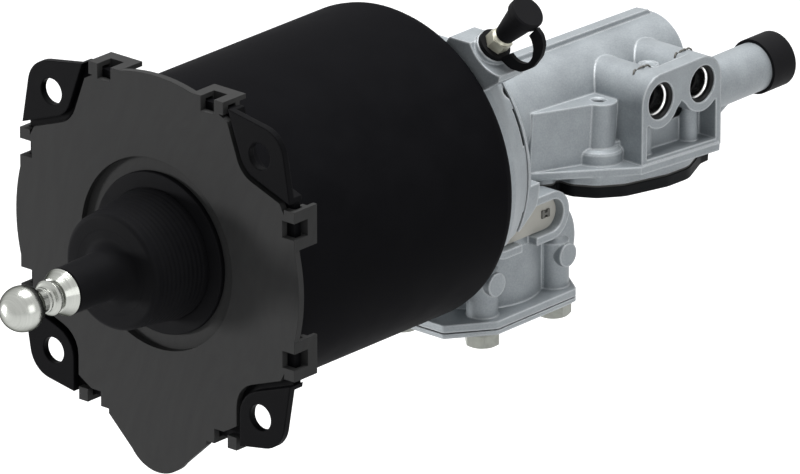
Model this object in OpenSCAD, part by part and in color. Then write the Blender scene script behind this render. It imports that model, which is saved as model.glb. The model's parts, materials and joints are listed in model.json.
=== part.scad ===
// Clutch actuator: an air cylinder with a hydraulic servo behind it and a ball-ended push rod.
// X runs along the cylinder towards the ball, Y is the side of the two ports, Z is up.
// The origin is the centre of the four mounting holes, in the plane of the ears' front faces.

/* [Mounting flange] */
// Distance between neighbouring mounting holes
ear_pitch = 110; // [108:0.5:114]
// Diameter of a mounting hole
ear_hole_d = 11; // [9:0.5:13]
// From a mounting hole's centre to the corner of its ear, along Y and along Z
ear_margin = 11; // [10:0.1:12]
// Rounding of an ear's corner
ear_corner_r = 12; // [8:0.5:14]
// Slope of an ear's two edges away from the corner, in degrees
ear_taper = 9.7; // [8:0.1:11]
// Thickness of an ear
ear_t = 3; // [2.5:0.25:3.5]
// Height of an ear's face above the flange
ear_raise = 3.5; // [3:0.5:5]
// Thickness of the pressed flange
flange_t = 4; // [3:0.5:5]
// How far the flange's straight sides stand out from the can
flange_margin = 3.6; // [3.2:0.1:4.4]

/* [Can] */
// Outer radius of the can
can_r = 66; // [64:0.5:67]
// Wall of the can
can_wall = 2.5; // [2:0.25:3]
// Length of the can, from the flange's front
can_length = 138; // [130:1:146]
// How far the can's rear edge is rolled in
can_roll = 3.2; // [2.5:0.1:4]
// Length over which the edge is rolled
can_roll_length = 5; // [4:0.5:7]

/* [Front cover] */
// Thickness of the front cover
cover_t = 3; // [2.5:0.25:3.5]
// How far the clips stand out from the flange
clip_stand = 3; // [2.6:0.1:3.6]
// How far the cover's round rim stands out from the clips
cover_bulge = 2.4; // [2:0.1:3]
// Distance of an upper notch's corner from the axis, along Y and along Z
notch_reach = 44.9; // [42:0.1:48]
// Distance of a lower notch's corner from the axis, along Y
low_notch_y = 42; // [41:0.1:43]
// Distance of a lower notch's corner from the axis, along Z
low_notch_z = 45.4; // [44:0.1:47]
// Half the opening of a notch
notch_half_angle = 65; // [60:1:68]
// Rounding in a notch's corner
notch_r = 12; // [8:0.5:14]
// Width of a clip
clip_w = 16.5; // [14:0.5:18]
// Thickness of a clip's strip
clip_t = 2; // [1.6:0.1:2.1]
// Width of the window in a clip
clip_window_w = 7; // [5:0.5:8]
// How far a clip reaches back
clip_reach = 13.5; // [13:0.5:18]
// Offset of the top clips from the middle
top_clip_offset = 27.3; // [26:0.1:29]
// Offset of the side clips from the middle
side_clip_offset = 27.4; // [26:0.1:28]
// Offset of the bottom clips from the middle
bottom_clip_offset = 33.7; // [33:0.1:34.5]
// Radius of the tongue's tip
tongue_r = 17; // [12:0.5:20]
// Drop of the tongue's centre below the axis
tongue_drop = 76; // [72:1:80]
// Half width of the tongue at its root
tongue_half = 26; // [23:0.5:28]
// Radius of the recess around the boot
recess_r = 40; // [38:0.5:44]
// Radius of the cover's hole
cover_hole_r = 28; // [27.5:0.5:30]

/* [Boot] */
// Radius of the boot's base flange
boot_flange_r = 33.6; // [32:0.1:36]
// Thickness of the boot's base flange
boot_flange_t = 2.3; // [2:0.1:3]
// Radius of the boot's body at the cover
boot_r = 27; // [26:0.5:27.5]
// Radius of the boot's front face
boot_front_r = 24.3; // [23:0.1:25]
// How far the boot's front face stands in front of the ears
boot_front_x = 26.5; // [24:0.5:30]
// Wall of the boot
boot_wall = 2.2; // [1.5:0.1:3]
// Radius of the boot's neck
boot_neck_r = 9.7; // [9.3:0.1:11]
// How far the neck reaches in front of the ears
boot_neck_x = 54; // [50:0.5:54]

/* [Push rod] */
// Radius of the push rod's ball
ball_r = 9.3; // [8:0.1:10]
// How far the ball's centre stands in front of the ears
ball_x = 78; // [77:0.5:84]
// Radius of the push rod's shaft
rod_r = 8; // [7:0.1:8.2]
// Radius of the bright cone at its root
cone_r = 9.7; // [9:0.1:10.5]
// Radius of the bright cone at its tip
cone_tip_r = 7; // [6.5:0.1:7.5]
// Where the bright cone starts
cone_x = 54.4; // [54.4:0.1:56]
// Length of the bright cone
cone_length = 5.6; // [4:0.1:6]
// Radius of the bead behind the ball
bead_r = 7.2; // [6:0.1:7.5]
// Radius of the neck behind the ball
ball_neck_r = 4.8; // [4:0.1:5.5]
// Radius of the rod's rear ball
heel_r = 9; // [8.4:0.1:9.5]
// Centre of the rod's rear ball, behind the ears
heel_depth = 44; // [43:0.5:46]
// Radius of the rod behind its shaft
rod_waist_r = 6; // [5:0.1:6.5]

/* [Air piston] */
// Length of the piston's rim
rim_length = 18; // [16:0.5:22]
// From the heel's centre back to the piston's rim
rim_set_back = 6; // [5:0.5:8]
// Radial wall of the rim
rim_wall = 6; // [5.5:0.5:8]
// Thickness of the piston's web
web_t = 5; // [4:0.5:7]
// Radius of the hub
hub_r = 19; // [18:0.5:22]
// Radius of the socket insert
seat_r = 12.5; // [12:0.1:14]
// Wall behind the heel's ball
seat_floor = 3; // [2:0.5:5]
// Width of the lip seal
seal_w = 4.5; // [4:0.5:5.5]
// Radial depth of the lip seal
seal_depth = 4; // [3:0.5:4.5]
// Width of the guide ring
guide_w = 4.5; // [4:0.5:5.5]
// Radial depth of the guide ring
guide_depth = 2.2; // [1.5:0.1:3]
// Mean radius of the preload spring
preload_r = 38; // [34:1:42]
// Wire diameter of the preload spring
preload_wire = 4.4; // [3.5:0.1:5]
// Turns of the preload spring
preload_turns = 5.5; // [4:0.5:7]

/* [Hydraulic plunger] */
// Radius of the plunger's stem
stem_r = 9.5; // [8.5:0.1:10]
// Radius of the bore in the nose
bore_r = 12.5; // [12:0.1:13]
// Length of the plunger's stem behind the piston's hub
stem_length = 152; // [145:1:156]
// Length of the plunger's head
plunger_head = 12; // [10:0.5:14]
// Radius of the threaded spigot in the hub
spigot_r = 7; // [6:0.1:8]
// Length of the threaded spigot
spigot_length = 13; // [10:0.5:13.5]

/* [Cylinder head] */
// From the can's rear edge to the seam
head_length = 18.5; // [16:0.5:20]
// Radius of the head at the seam
seam_r = 56; // [54:0.5:58]
// From the seam to the front of the head's plate
head_plate = 24; // [22:0.5:26]
// Length of the spigot inside the can
spigot_in_can = 13; // [11:0.5:16]
// Wall of the head's spigot ring
head_ring_wall = 6.5; // [5:0.5:8]
// Radius of the hub that carries the gland
gland_hub_r = 18; // [16.5:0.5:20]
// Outer radius of the gland bush
bush_r = 13; // [12:0.1:14]
// Length of the gland bush
bush_length = 12; // [9:0.5:12]
// Height at which the head is cut flat on top
head_top = 46; // [44:0.5:48]
// Thickness of the head left between the can and the flat for the relay valve
head_lip = 1.5; // [1:0.25:3]
// Section radius of the seal ring between head and can
oring_r = 1.7; // [1.4:0.1:2]
// Radius of the circle of the head's screws
head_screw_circle = 46; // [44:0.5:47]
// Thickness of the gasket in the seam
gasket_t = 0.6; // [0.4:0.1:1]

/* [Servo body] */
// Thickness of the servo body's flange
servo_flange = 7; // [6:0.5:9]
// Radius of the flange's thick core above its step
flange_core_r = 49.5; // [48:0.5:50]
// Thickness of the flange's thin rim above the step
flange_rim_t = 1.2; // [1:0.1:2]
// Height of the step below which the flange's rim is thick
flange_step_z = -4; // [-8:0.5:-2]
// Outer radius of the nose at its root
nose_root_r = 21; // [20:0.1:22]
// Outer radius of the nose at its end
nose_end_r = 17.6; // [17:0.1:19]
// Length of the nose behind the seam
nose_length = 144.5; // [140:0.5:148]
// Wall at the end of the nose
nose_end_wall = 8; // [5:0.5:12]
// Height of the rib on the nose
nose_rib = 2.1; // [1:0.1:3]
// Width of the rib on the nose
nose_rib_w = 6; // [4:0.5:8]
// How far the casting's lower part tips down towards the rear, in degrees
casting_tilt = 3.95; // [3:0.05:5]
// Thickness of the base flange
base_t = 3.3; // [2.5:0.1:4]
// Height of the arm above the base flange
arm_height = 25.2; // [23:0.1:26]
// Depth of the rim under the base flange
rim_drop = 3.5; // [2.5:0.1:5]

/* [Port block] */
// Distance of the ports' face from the axis
port_face_y = 44; // [42:0.5:46]
// Height of the ports above the axis
port_z = 2.5; // [1:0.5:4]
// Distance of the front port behind the ears
port_depth = 257; // [255:0.5:259]
// Distance between the two ports
port_pitch = 26; // [25:0.5:27]
// Radius of a port's socket
socket_r = 7.9; // [7.2:0.1:8.3]
// Depth of a port's socket
socket_depth = 14; // [12:0.5:18]
// Radius of the boss around a port
boss_r = 11.7; // [11:0.1:12]
// Wall of the port block
block_wall = 3; // [2.5:0.1:3.5]
// Thickness of the port block's face plate
face_t = 7; // [5:0.5:9]
// How far the web between the two bosses lies below their tops
web_drop = 9; // [6:0.5:10]
// Depth of the pocket below the ports
pocket_depth = 9; // [6:0.5:12]
// Inner radius of a port's grip sleeve
sleeve_in_r = 6.8; // [6.5:0.1:7]
// Inner radius of a port's metal ring
port_ring_r = 5.8; // [5:0.1:6]

/* [Rear tube] */
// Radius of the rear tube
rear_tube_r = 10.3; // [9:0.1:11]
// Radius of the rear tube's bore
rear_bore_r = 7; // [6:0.1:7.5]
// Distance of the rear tube's axis from the cylinder's axis, along Y
rear_tube_y = 30; // [28:0.5:32]
// Height of the rear tube's axis
rear_tube_z = -7.3; // [-9:0.1:-6]
// How far the rear tube ends behind the ears
rear_tube_end = 343; // [338:0.5:348]
// Wall of the end cap
end_cap_wall = 1.3; // [1:0.1:2]
// Thickness of the end cap's floor
end_cap_floor = 2.8; // [2:0.1:4]
// Length of the end cap
end_cap_length = 14.3; // [12:0.1:18]

/* [Valve cover] */
// Thickness of the black cover under the servo body
valve_cover_t = 4.4; // [3.5:0.1:6]
// Thickness of the seal sheet above the black cover
cover_sheet_t = 0.8; // [0.5:0.1:1]

/* [Relay valve] */
// Distance of the relay valve's axis behind the ears
relay_depth = 192; // [191:0.5:193]
// Radius of the relay housing
relay_r = 27.5; // [26:0.5:28.5]
// Wall of the relay housing
relay_wall = 4; // [3:0.5:5]
// Level of the relay housing's top face
relay_top = -24.5; // [-26:0.5:-24]
// Level of the relay housing's base flange
relay_base = -69.5; // [-72:0.5:-68]
// Thickness of the relay housing's base flange
relay_flange_t = 3.2; // [3:0.1:5]
// Thickness of the relay's bottom plate
bottom_plate_t = 2.4; // [2:0.1:4]
// Radius of the circle of the relay's bolts
relay_bolt_circle = 32.2; // [31.5:0.1:33]
// Radius of a column around a relay bolt
column_r = 6.5; // [6:0.1:7]
// Level of the columns' tops
column_top = -50; // [-53:0.5:-49]
// From the relay valve's axis to the front end of the base flange
relay_half_x = 42.4; // [41:0.1:45]
// From the relay valve's axis to the rear end of the base flange
relay_back_x = 37.5; // [37:0.1:40]
// Half width of the base flange
relay_half_y = 34; // [33.5:0.1:37]
// Diameter of the relay bolts
relay_bolt_d = 8; // [6:0.5:8]
// Width across the flats of a relay bolt's head
relay_bolt_flats = 13; // [12:0.5:14]
// Height of a relay bolt's head
relay_bolt_head = 6.6; // [5:0.1:7]
// Radius of the relay piston
relay_piston_r = 21; // [19:0.5:22]
// Distance between the name plate's two rivets
plate_rivet_pitch = 28.2; // [26:0.1:30]
// Height of the name plate
plate_h = 13.4; // [12:0.1:14]
// Thickness of the name plate
plate_t = 0.8; // [0.6:0.1:1]
// Level of the name plate's middle
plate_z = -34.5; // [-36:0.5:-33]
// Distance of the name plate's rim from the cylinder's axis, along Y
plate_rim_y = 32.5; // [32:0.5:34]
// Width of the rim around the name plate
plate_rim_w = 3.6; // [3:0.1:4]
// Depth of the recess that holds the name plate
plate_recess = 4.9; // [4:0.1:5]

/* [Bleed screw] */
// Distance of the bleed screw's axis behind the can's rear edge
bleed_set_back = 9; // [8.4:0.1:9.6]
// Place of the bleed screw's seat along Y
bleed_y = 45.8; // [45.2:0.1:46.6]
// Height of the bleed screw's seat
bleed_z = 56.4; // [55.8:0.1:57.2]
// Lean of the bleed screw from upright, in degrees
bleed_lean = 43.5; // [40:0.5:47]
// Width across the flats of the bleed screw's hexagon
bleed_flats = 9; // [8:0.5:9.5]
// Height of the bleed screw's hexagon
bleed_hex = 4.8; // [4:0.1:5.5]
// Radius of the bleed screw's nipple
nipple_r = 2.5; // [2.2:0.1:2.6]
// Radius of the cap's head
cap_head_r = 7.3; // [6.5:0.1:7.3]
// Radius of the cap's neck
cap_neck_r = 4.1; // [4:0.1:4.8]
// Thickness of the tether's ring and of its flat loop
tether_t = 2; // [1.5:0.1:2.5]

/* [Hidden] */
$fn = 72;
// Clearance of a running fit, in the radius
run_gap = 0.05;
// Clearance between soft or pushed-on pieces and what carries them
seat_gap = 0.3;
// Cuts reach this far past a face
past = 1;

// Flange and can, along X
plate_front = -ear_raise;
plate_back = plate_front - flange_t;
can_in_r = can_r - can_wall;
can_rear = plate_front - can_length;
flange_half = can_r + flange_margin;
cover_flat = flange_half + clip_stand;
cover_r = cover_flat + cover_bulge;
lip_out_r = can_r - can_roll;
lip_in_r = lip_out_r - can_wall;
ear_half = ear_pitch / 2 + ear_margin;
ear_middle = ear_half * (1 + tan(ear_taper));

// Push rod and piston, along X
heel_x = -heel_depth;
rim_front = heel_x - rim_set_back;
rim_rear = rim_front - rim_length;
piston_r = can_in_r - 0.7;
web_front = rim_front - 5;
web_rear = web_front - web_t;
socket_rear = heel_x - heel_r - seat_floor;
seat_front = heel_x + 5;
seat_ring_t = 1.6;
hub_front = seat_front + seat_ring_t + 1.4;
hub_rear = socket_rear - 5 - spigot_length;
stem_rear = hub_rear - stem_length;
plunger_rear = stem_rear - plunger_head;

// Cylinder head and seam, along X
seam_x = can_rear - head_length;
head_plate_front = seam_x + head_plate;
bush_front = head_plate_front + bush_length;
spigot_front = can_rear + can_wall + 1.2 + spigot_in_can;
top_flat_y = [-40, 28];
head_screw_d = 8;
head_screw_hold = 10;
head_screw_room = 40;
gland_seal_length = 5.5;
servo_front = seam_x - gasket_t;
servo_flange_rear = servo_front - servo_flange;
nose_end = servo_front - nose_length;
bore_end = nose_end + nose_end_wall;

// Port block, seen along Y
port_x = [-port_depth, -port_depth - port_pitch];
block_front = port_x[0] + boss_r;
block_rear = port_x[1] - boss_r;
tilt_x = block_front;
base_z = -22.2;
base_low = base_z - base_t;
rim_low = base_low - rim_drop;
sheet_low = rim_low - cover_sheet_t;
cover_low = sheet_low - valve_cover_t;
arm_top = base_z + arm_height;
arm_front = -204.5;
arm_corner_y = 20.4;
arm_slope = 0.273;
boss_column = [-239.5, 25.5, 7.5];
pocket_y = port_face_y - pocket_depth;
rear_tube_front = block_rear + 6;
end_cap_front = -rear_tube_end - end_cap_floor + end_cap_length - seat_gap;

// Relay valve
relay_x = -relay_depth;
relay_low = relay_base - relay_flange_t;
relay_gasket_t = 0.6;
bottom_plate_low = relay_low - relay_gasket_t - bottom_plate_t;
relay_bolt_angles = [-23, 47, 133, 203, 270];
relay_in_r = relay_r - relay_wall;
piston_top = -42;
piston_skirt = 15;
seat_low = -58.5;
seat_t = 2;
gallery_x = -153;
gallery_r = 3.4;
gallery_z = relay_top + gallery_r + 0.6;
pad_length = 42;
rim_gap = 9.2;
rivet_hold = 3.2;
plate_mid_x = relay_x + 3;
plate_face_y = plate_rim_y - plate_recess + plate_t;

// Bleed screw, along its own axis from the seat
bleed_x = can_rear - bleed_set_back;
bleed_thread_r = 3.5;
bleed_collar_r = 4.4;
hex_low = tether_t + 0.3;
hex_top = hex_low + bleed_hex;
cap_low = hex_top + 1.8;
cap_top = 26.8;

// Outline below the servo body, as [x, y, corner radius]
cover_outline = [
    [-210, 10, 3], [-211.8, 19.8, 3], [-218, 22.2, 4], [-223.2, 19.6, 1.2], [-223, 27.4, 5],
    [-228.8, 35.8, 8],
    [-239.6, 41.8, 14], [-262.8, 45, 20], [-277.5, 43.8, 16], [-296, 34.4, 6], [-302, 33.4, 3],
    [-312, 25.4, 6], [-313, -16, 8], [-296, -24, 8], [-222, -24, 8], [-210, -12, 6]];
cover_screw_places = [[-216.5, 17], [-283, 33], [-305, 17], [-303, -12], [-258, -18], [-222, -18]];

// Turns a vector to length one
function unit(v) = v / norm(v);

// Arc that rounds the corner b between a and c
function corner_arc(a, b, c, r, steps) =
    r == 0 ? [b] :
    let (u = unit(a - b), v = unit(c - b), half = acos(u * v) / 2)
    let (middle = b + unit(u + v) * r / sin(half), p = b + u * r / tan(half) - middle)
    let (turn = cross(u, v) > 0 ? -1 : 1, sweep = 180 - 2 * half)
    [for (i = [0 : steps]) let (t = turn * sweep * i / steps)
        middle + [p[0] * cos(t) - p[1] * sin(t), p[0] * sin(t) + p[1] * cos(t)]];

// Outline through [x, y, radius] corners, each rounded by its radius
function rounded(points, steps = 5) =
    let (n = len(points), flat = [for (p = points) [p[0], p[1]]])
    [for (i = [0 : n - 1])
        each corner_arc(flat[(i + n - 1) % n], flat[i], flat[(i + 1) % n], points[i][2], steps)];

// Points of an arc from one angle to another about a centre
function arc(centre, r, from, to, steps) =
    [for (i = [0 : steps]) let (t = from + (to - from) * i / steps) centre + r * [cos(t), sin(t)]];

// Stands a solid drawn along Z on the X axis
module along_x() {
    rotate([0, 90, 0]) children();
}

// Stands a solid drawn along Z on the Y axis
module along_y() {
    rotate([-90, 0, 0]) children();
}

// Solid of revolution about X, from a profile of [radius, x] points
module turned(profile) {
    along_x() rotate_extrude() polygon(profile);
}

// Cylinder along X between two places
module rod_x(r, x0, x1) {
    translate([min(x0, x1), 0, 0]) along_x() cylinder(r = r, h = abs(x1 - x0));
}

// Ring about X between two places
module ring_x(r_out, r_in, x0, x1) {
    difference() {
        rod_x(r_out, x0, x1);
        rod_x(r_in, min(x0, x1) - past, max(x0, x1) + past);
    }
}

// Outline in the YZ plane, extruded along X
module plate_yz(x0, x1) {
    translate([min(x0, x1), 0, 0]) rotate([90, 0, 90]) linear_extrude(abs(x1 - x0)) children();
}

// Outline in the XZ plane, extruded along Y
module plate_xz(y0, y1) {
    translate([0, max(y0, y1), 0]) rotate([90, 0, 0]) linear_extrude(abs(y1 - y0)) children();
}

// Outline in the XY plane, extruded along Z
module plate_xy(z0, z1) {
    translate([0, 0, min(z0, z1)]) linear_extrude(abs(z1 - z0)) children();
}

// The lower part of the servo casting, which tips down towards its rear
module tipped() {
    translate([tilt_x, 0, 0]) rotate([0, -casting_tilt, 0]) translate([-tilt_x, 0, 0]) children();
}

// Rounded wedge that opens outwards from a corner, between two directions
module wedge(tip, low, high) {
    far = 60;
    a = tip + far * [cos(low), sin(low)];
    b = tip + far * [cos(high), sin(high)];
    polygon(rounded([[tip[0], tip[1], notch_r], [a[0], a[1], 0], [a[0] + far, b[1] + far, 0],
        [b[0], b[1], 0]]));
}

// The four notches, their corners shifted outwards; the lower two drop straight down beside the tongue
module four_notches(shift) {
    for (side = [0, 1]) mirror([side, 0]) {
        wedge([notch_reach + shift, notch_reach + shift], 45 - notch_half_angle, 45 + notch_half_angle);
        mirror([0, 1]) wedge([low_notch_y + shift, low_notch_z + shift], 45 - notch_half_angle, 90);
    }
}

// Square with rounded corners, centred
module round_square(half, r) {
    polygon(rounded([[half, half, r], [-half, half, r], [-half, -half, r], [half, -half, r]], 8));
}

// Helix of round wire along Z with flat-set ends, swept as one mesh
module helix(r, wire_r, height, turns, sides = 8, per_turn = 20) {
    steps = ceil(turns * per_turn);
    rise = height - 2 * wire_r;
    dead = 0.75 / turns;
    function lift(t) = t < dead ? 0 : t > 1 - dead ? 1 : (t - dead) / (1 - 2 * dead);
    ring_points = [for (i = [0 : steps], k = [0 : sides - 1])
        let (t = i / steps, a = 360 * turns * t, b = 360 * k / sides)
        let (dip = 2 * wire_r * (min(t / dead, 1) + max((t - 1 + dead) / dead, 0)))
        [(r + wire_r * cos(b)) * cos(a), (r + wire_r * cos(b)) * sin(a),
            wire_r + dip + (rise - 4 * wire_r) * lift(t) + wire_r * sin(b)]];
    sides_faces = [for (i = [0 : steps - 1], k = [0 : sides - 1])
        let (p = i * sides + k, q = i * sides + (k + 1) % sides)
        [p, p + sides, q + sides, q]];
    first = [for (k = [0 : sides - 1]) k];
    last = [for (k = [sides - 1 : -1 : 0]) steps * sides + k];
    polyhedron(ring_points, concat(sides_faces, [first], [last]), convexity = 10);
}

// Hexagon-headed screw along Z: head below zero, shank above
module hex_screw(d, flats, head_h, shank) {
    translate([0, 0, -head_h]) intersection() {
        cylinder(d = flats / cos(30), h = head_h, $fn = 6);
        translate([0, 0, -0.1])
            cylinder(r1 = flats / 2 - 0.4, r2 = flats / 2 + head_h * 1.7, h = head_h + 0.2);
    }
    cylinder(d = d, h = shank);
}

// Cylinder-headed socket screw along Z: head above zero, shank below
module socket_screw(d, head_h, shank) {
    difference() {
        cylinder(d = 1.55 * d, h = head_h);
        translate([0, 0, head_h * 0.45]) cylinder(d = 0.9 * d, h = head_h, $fn = 6);
    }
    translate([0, 0, -shank]) cylinder(d = d, h = shank);
}

// Pressed can with its rear edge rolled in over the head
module can() {
    roll_start = can_rear + can_roll_length;
    color("#18181a") turned([
        [can_in_r, plate_front], [can_r, plate_front], [can_r, roll_start],
        [can_r - can_roll * 0.13, roll_start - can_roll_length * 0.45],
        [can_r - can_roll * 0.45, roll_start - can_roll_length * 0.8],
        [lip_out_r, can_rear], [lip_in_r, can_rear], [lip_in_r, can_rear + can_wall],
        [can_in_r, can_rear + can_wall + 1.2]]);
}

// Outline through the four ears' corners, its edges running out towards the middle of each side
module ear_outline() {
    polygon(rounded([for (q = [0 : 3]) each let (m = [[1, 0], [0, 1], [-1, 0], [0, -1]][q], n = [-m[1], m[0]])
        [[m[0] * ear_middle, m[1] * ear_middle, 0],
            [(m[0] + n[0]) * ear_half, (m[1] + n[1]) * ear_half, ear_corner_r]]], 8));
}

// Pressed flange with four raised ears
module ear_plate() {
    wall_shift = 2.2;
    wall_thick = 1.4;
    color("#1b1b1d") difference() {
        union() {
            plate_yz(plate_back, plate_front) difference() {
                round_square(flange_half, ear_corner_r);
                four_notches(wall_shift + 1);
            }
            plate_yz(-ear_t, 0) intersection() {
                ear_outline();
                four_notches(wall_shift + 1);
            }
            // Raised wall that joins each ear to the flange
            plate_yz(plate_back, 0) intersection() {
                ear_outline();
                difference() {
                    four_notches(wall_shift);
                    four_notches(wall_shift + wall_thick);
                }
            }
        }
        rod_x(can_r, plate_back - past, past);
        for (y = [-1, 1], z = [-1, 1])
            translate([0, y * ear_pitch / 2, z * ear_pitch / 2])
                rod_x(ear_hole_d / 2, plate_back - past, past);
    }
}

// Places one clip: on the side at the given turn, offset along that side
module at_clips() {
    sides = [[0, top_clip_offset], [90, side_clip_offset], [180, bottom_clip_offset],
        [270, side_clip_offset]];
    for (side = sides, way = [-1, 1]) rotate([side[0], 0, 0]) translate([0, way * side[1], 0]) children();
}

// Clip-on front cover with its tongue, notches and eight clips
module front_cover() {
    face_x = plate_front + cover_t;
    window_in = 6.3;
    strip_z = cover_flat - clip_t;
    tab_z = flange_half - 2.4;
    hook_z = flange_half - 1.2;
    hook_length = 2.5;
    color("#3b3b3b") difference() {
        union() {
            plate_yz(plate_front, face_x) {
                difference() {
                    circle(cover_r);
                    four_notches(0);
                }
                polygon([[-tongue_half, -60], [tongue_half, -60], [tongue_half, 1.5 - tongue_drop],
                    [tongue_r * 0.8, -tongue_drop - tongue_r * 0.6],
                    [-tongue_r * 0.8, -tongue_drop - tongue_r * 0.6], [-tongue_half, 1.5 - tongue_drop]]);
                translate([0, -tongue_drop]) circle(tongue_r);
            }
            // Recessed floor that carries the boot
            rod_x(recess_r + cover_t, plate_front - cover_t, face_x);
            at_clips() {
                translate([face_x - clip_reach, -clip_w / 2, strip_z]) cube([clip_reach, clip_w, clip_t]);
                translate([plate_front, -clip_w / 2, tab_z]) cube([cover_t, clip_w, cover_flat - tab_z]);
                // Hook behind the flange
                translate([plate_back - seat_gap - hook_length, -clip_w / 2, hook_z])
                    cube([hook_length, clip_w, cover_flat - hook_z]);
            }
        }
        rod_x(recess_r, plate_front, past);
        rod_x(cover_hole_r, plate_front - cover_t - past, past);
        at_clips() translate([plate_back - past, -clip_window_w / 2, cover_flat - window_in])
            cube([face_x - plate_back + 2 * past, clip_window_w, window_in + past]);
    }
}

// Rubber boot: bellows through the cover with a long neck on the rod
module boot() {
    floor_x = plate_front;
    flange_top = floor_x + boot_flange_t;
    in_r = boot_r - boot_wall;
    ring_gap = 4.6;
    pleats = [for (i = [0 : 3]) each
        let (x = flange_top + 3.2 + i * ring_gap, r = boot_r - (boot_r - boot_front_r) * (i + 0.7) / 5)
        [[r, x], [r - 0.55, x + ring_gap * 0.35], [r - 0.55, x + ring_gap * 0.55],
         [r - 0.1, x + ring_gap * 0.9]]];
    color("#141516") turned(concat(
        [[in_r, floor_x], [boot_flange_r, floor_x], [boot_flange_r, flange_top - 0.5],
            [boot_flange_r - 0.5, flange_top], [boot_r + 0.8, flange_top], [boot_r, flange_top + 1]],
        pleats,
        arc([boot_front_r - 2.2, boot_front_x - 2.2], 2.2, 10, 90, 4),
        [[boot_neck_r + 3.5, boot_front_x], [boot_neck_r + 1, boot_front_x + 1.2],
            [boot_neck_r + 0.2, boot_front_x + 4], [boot_neck_r, boot_neck_x - 0.6],
            [boot_neck_r - 0.5, boot_neck_x], [rod_r + seat_gap, boot_neck_x],
            [rod_r + seat_gap, boot_front_x + 2], [rod_r + 3, boot_front_x - boot_wall],
            [boot_front_r - boot_wall - 1, boot_front_x - boot_wall], [in_r, flange_top + 4]]));
}

// Push rod with its ball, bead, cone and rear ball
module push_rod() {
    cone_end = cone_x + cone_length;
    groove_r = cone_tip_r - 1.2;
    bead_x = cone_end + 2.7;
    ring_x0 = bead_x + 1.6;
    color("#d5d8da") union() {
        translate([ball_x, 0, 0]) along_x() sphere(r = ball_r);
        translate([heel_x, 0, 0]) along_x() sphere(r = heel_r);
        turned([
            [0, heel_x], [rod_waist_r, heel_x], [rod_waist_r, heel_x + 13], [rod_r, heel_x + 16],
            [rod_r, cone_x], [cone_r - 0.4, cone_x], [cone_r, cone_x + 0.5], [cone_tip_r, cone_end],
            [groove_r, cone_end + 0.4], [groove_r, cone_end + 1.2], [bead_r - 0.6, cone_end + 1.5],
            [bead_r, bead_x - 0.4], [bead_r, bead_x + 0.3], [bead_r - 0.6, bead_x + 0.9],
            [ball_neck_r + 0.5, ring_x0], [ball_neck_r, ring_x0 + 0.6], [ball_neck_r, ring_x0 + 1.2],
            [ball_neck_r + 0.5, ring_x0 + 1.6], [ball_neck_r + 0.5, ring_x0 + 2.2],
            [ball_neck_r, ring_x0 + 2.6], [ball_neck_r, ball_x], [0, ball_x]]);
    }
}

// Plastic socket that holds the rod's rear ball in the piston
module rod_seat() {
    color("#c9c4b0") difference() {
        rod_x(seat_r - run_gap, socket_rear, seat_front);
        translate([heel_x, 0, 0]) along_x() sphere(r = heel_r + run_gap);
        turned([[0, heel_x], [rod_waist_r + 1, heel_x], [rod_waist_r + 1, heel_x + 3.5],
            [seat_r - 2.5, seat_front + past], [0, seat_front + past]]);
    }
}

// Spring ring that keeps the socket in the hub
module seat_ring() {
    ring_out = seat_r + 1.2;
    color("#8d9194") difference() {
        ring_x(ring_out - run_gap, seat_r - 2.2, seat_front + run_gap, seat_front + seat_ring_t);
        translate([seat_front - past, -2, 0]) cube([seat_ring_t + 2 * past, 4, seat_r + 5]);
    }
}

// Air piston: rim with two grooves, ribbed web and hub
module air_piston() {
    seal_rear = rim_rear + 2.2;
    guide_rear = rim_front - 2.2 - guide_w;
    color("#a9aeb2") difference() {
        union() {
            rod_x(piston_r, rim_rear, rim_front);
            rod_x(hub_r, web_rear, hub_front);
            rod_x(spigot_r + 7, hub_rear, web_rear + past);
        }
        ring_x(piston_r - rim_wall, hub_r, web_front, rim_front + past);
        ring_x(piston_r - rim_wall, spigot_r + 7, rim_rear - past, web_rear);
        rod_x(seat_r, socket_rear, hub_front + past);
        ring_x(seat_r + 1.2, seat_r - past, seat_front, seat_front + seat_ring_t + 0.1);
        rod_x(spigot_r + run_gap, hub_rear - past, hub_rear + spigot_length + past);
        ring_x(piston_r + past, piston_r - seal_depth, seal_rear, seal_rear + seal_w + 0.2);
        ring_x(piston_r + past, piston_r - guide_depth, guide_rear, guide_rear + guide_w + 0.2);
        rod_x(seat_r - 3, socket_rear - 1.5, socket_rear + past);
    }
    // Stiffening ribs between hub and rim
    color("#a9aeb2") for (a = [0 : 60 : 300]) rotate([a, 0, 0])
        translate([web_front - 0.2, -1.5, hub_r - 0.5]) cube([4, 3, piston_r - rim_wall - hub_r + 1]);
}

// Lip seal of the air piston, its lips towards the rear
module piston_seal() {
    rear = rim_rear + 2.3;
    root_r = piston_r - seal_depth + run_gap;
    lip_r = can_in_r - run_gap;
    color("#1d1e20") turned([
        [root_r, rear], [root_r, rear + seal_w], [lip_r - 0.8, rear + seal_w], [lip_r - 0.8, rear + 1.9],
        [lip_r, rear + 0.8], [lip_r - 0.4, rear], [lip_r - 1.5, rear + 0.2], [root_r + 1.6, rear + 1.9],
        [root_r + 0.9, rear]]);
}

// Guide ring of the air piston
module guide_ring() {
    rear = rim_front - 2.1 - guide_w;
    color("#d9d2bd") ring_x(can_in_r - run_gap, piston_r - guide_depth + run_gap, rear, rear + guide_w);
}

// Preload spring between the head and the piston's web
module preload_spring() {
    color("#6d7275") translate([head_plate_front + seat_gap, 0, 0]) along_x()
        helix(preload_r, preload_wire / 2, web_rear - head_plate_front - 2 * seat_gap, preload_turns);
}

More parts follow.
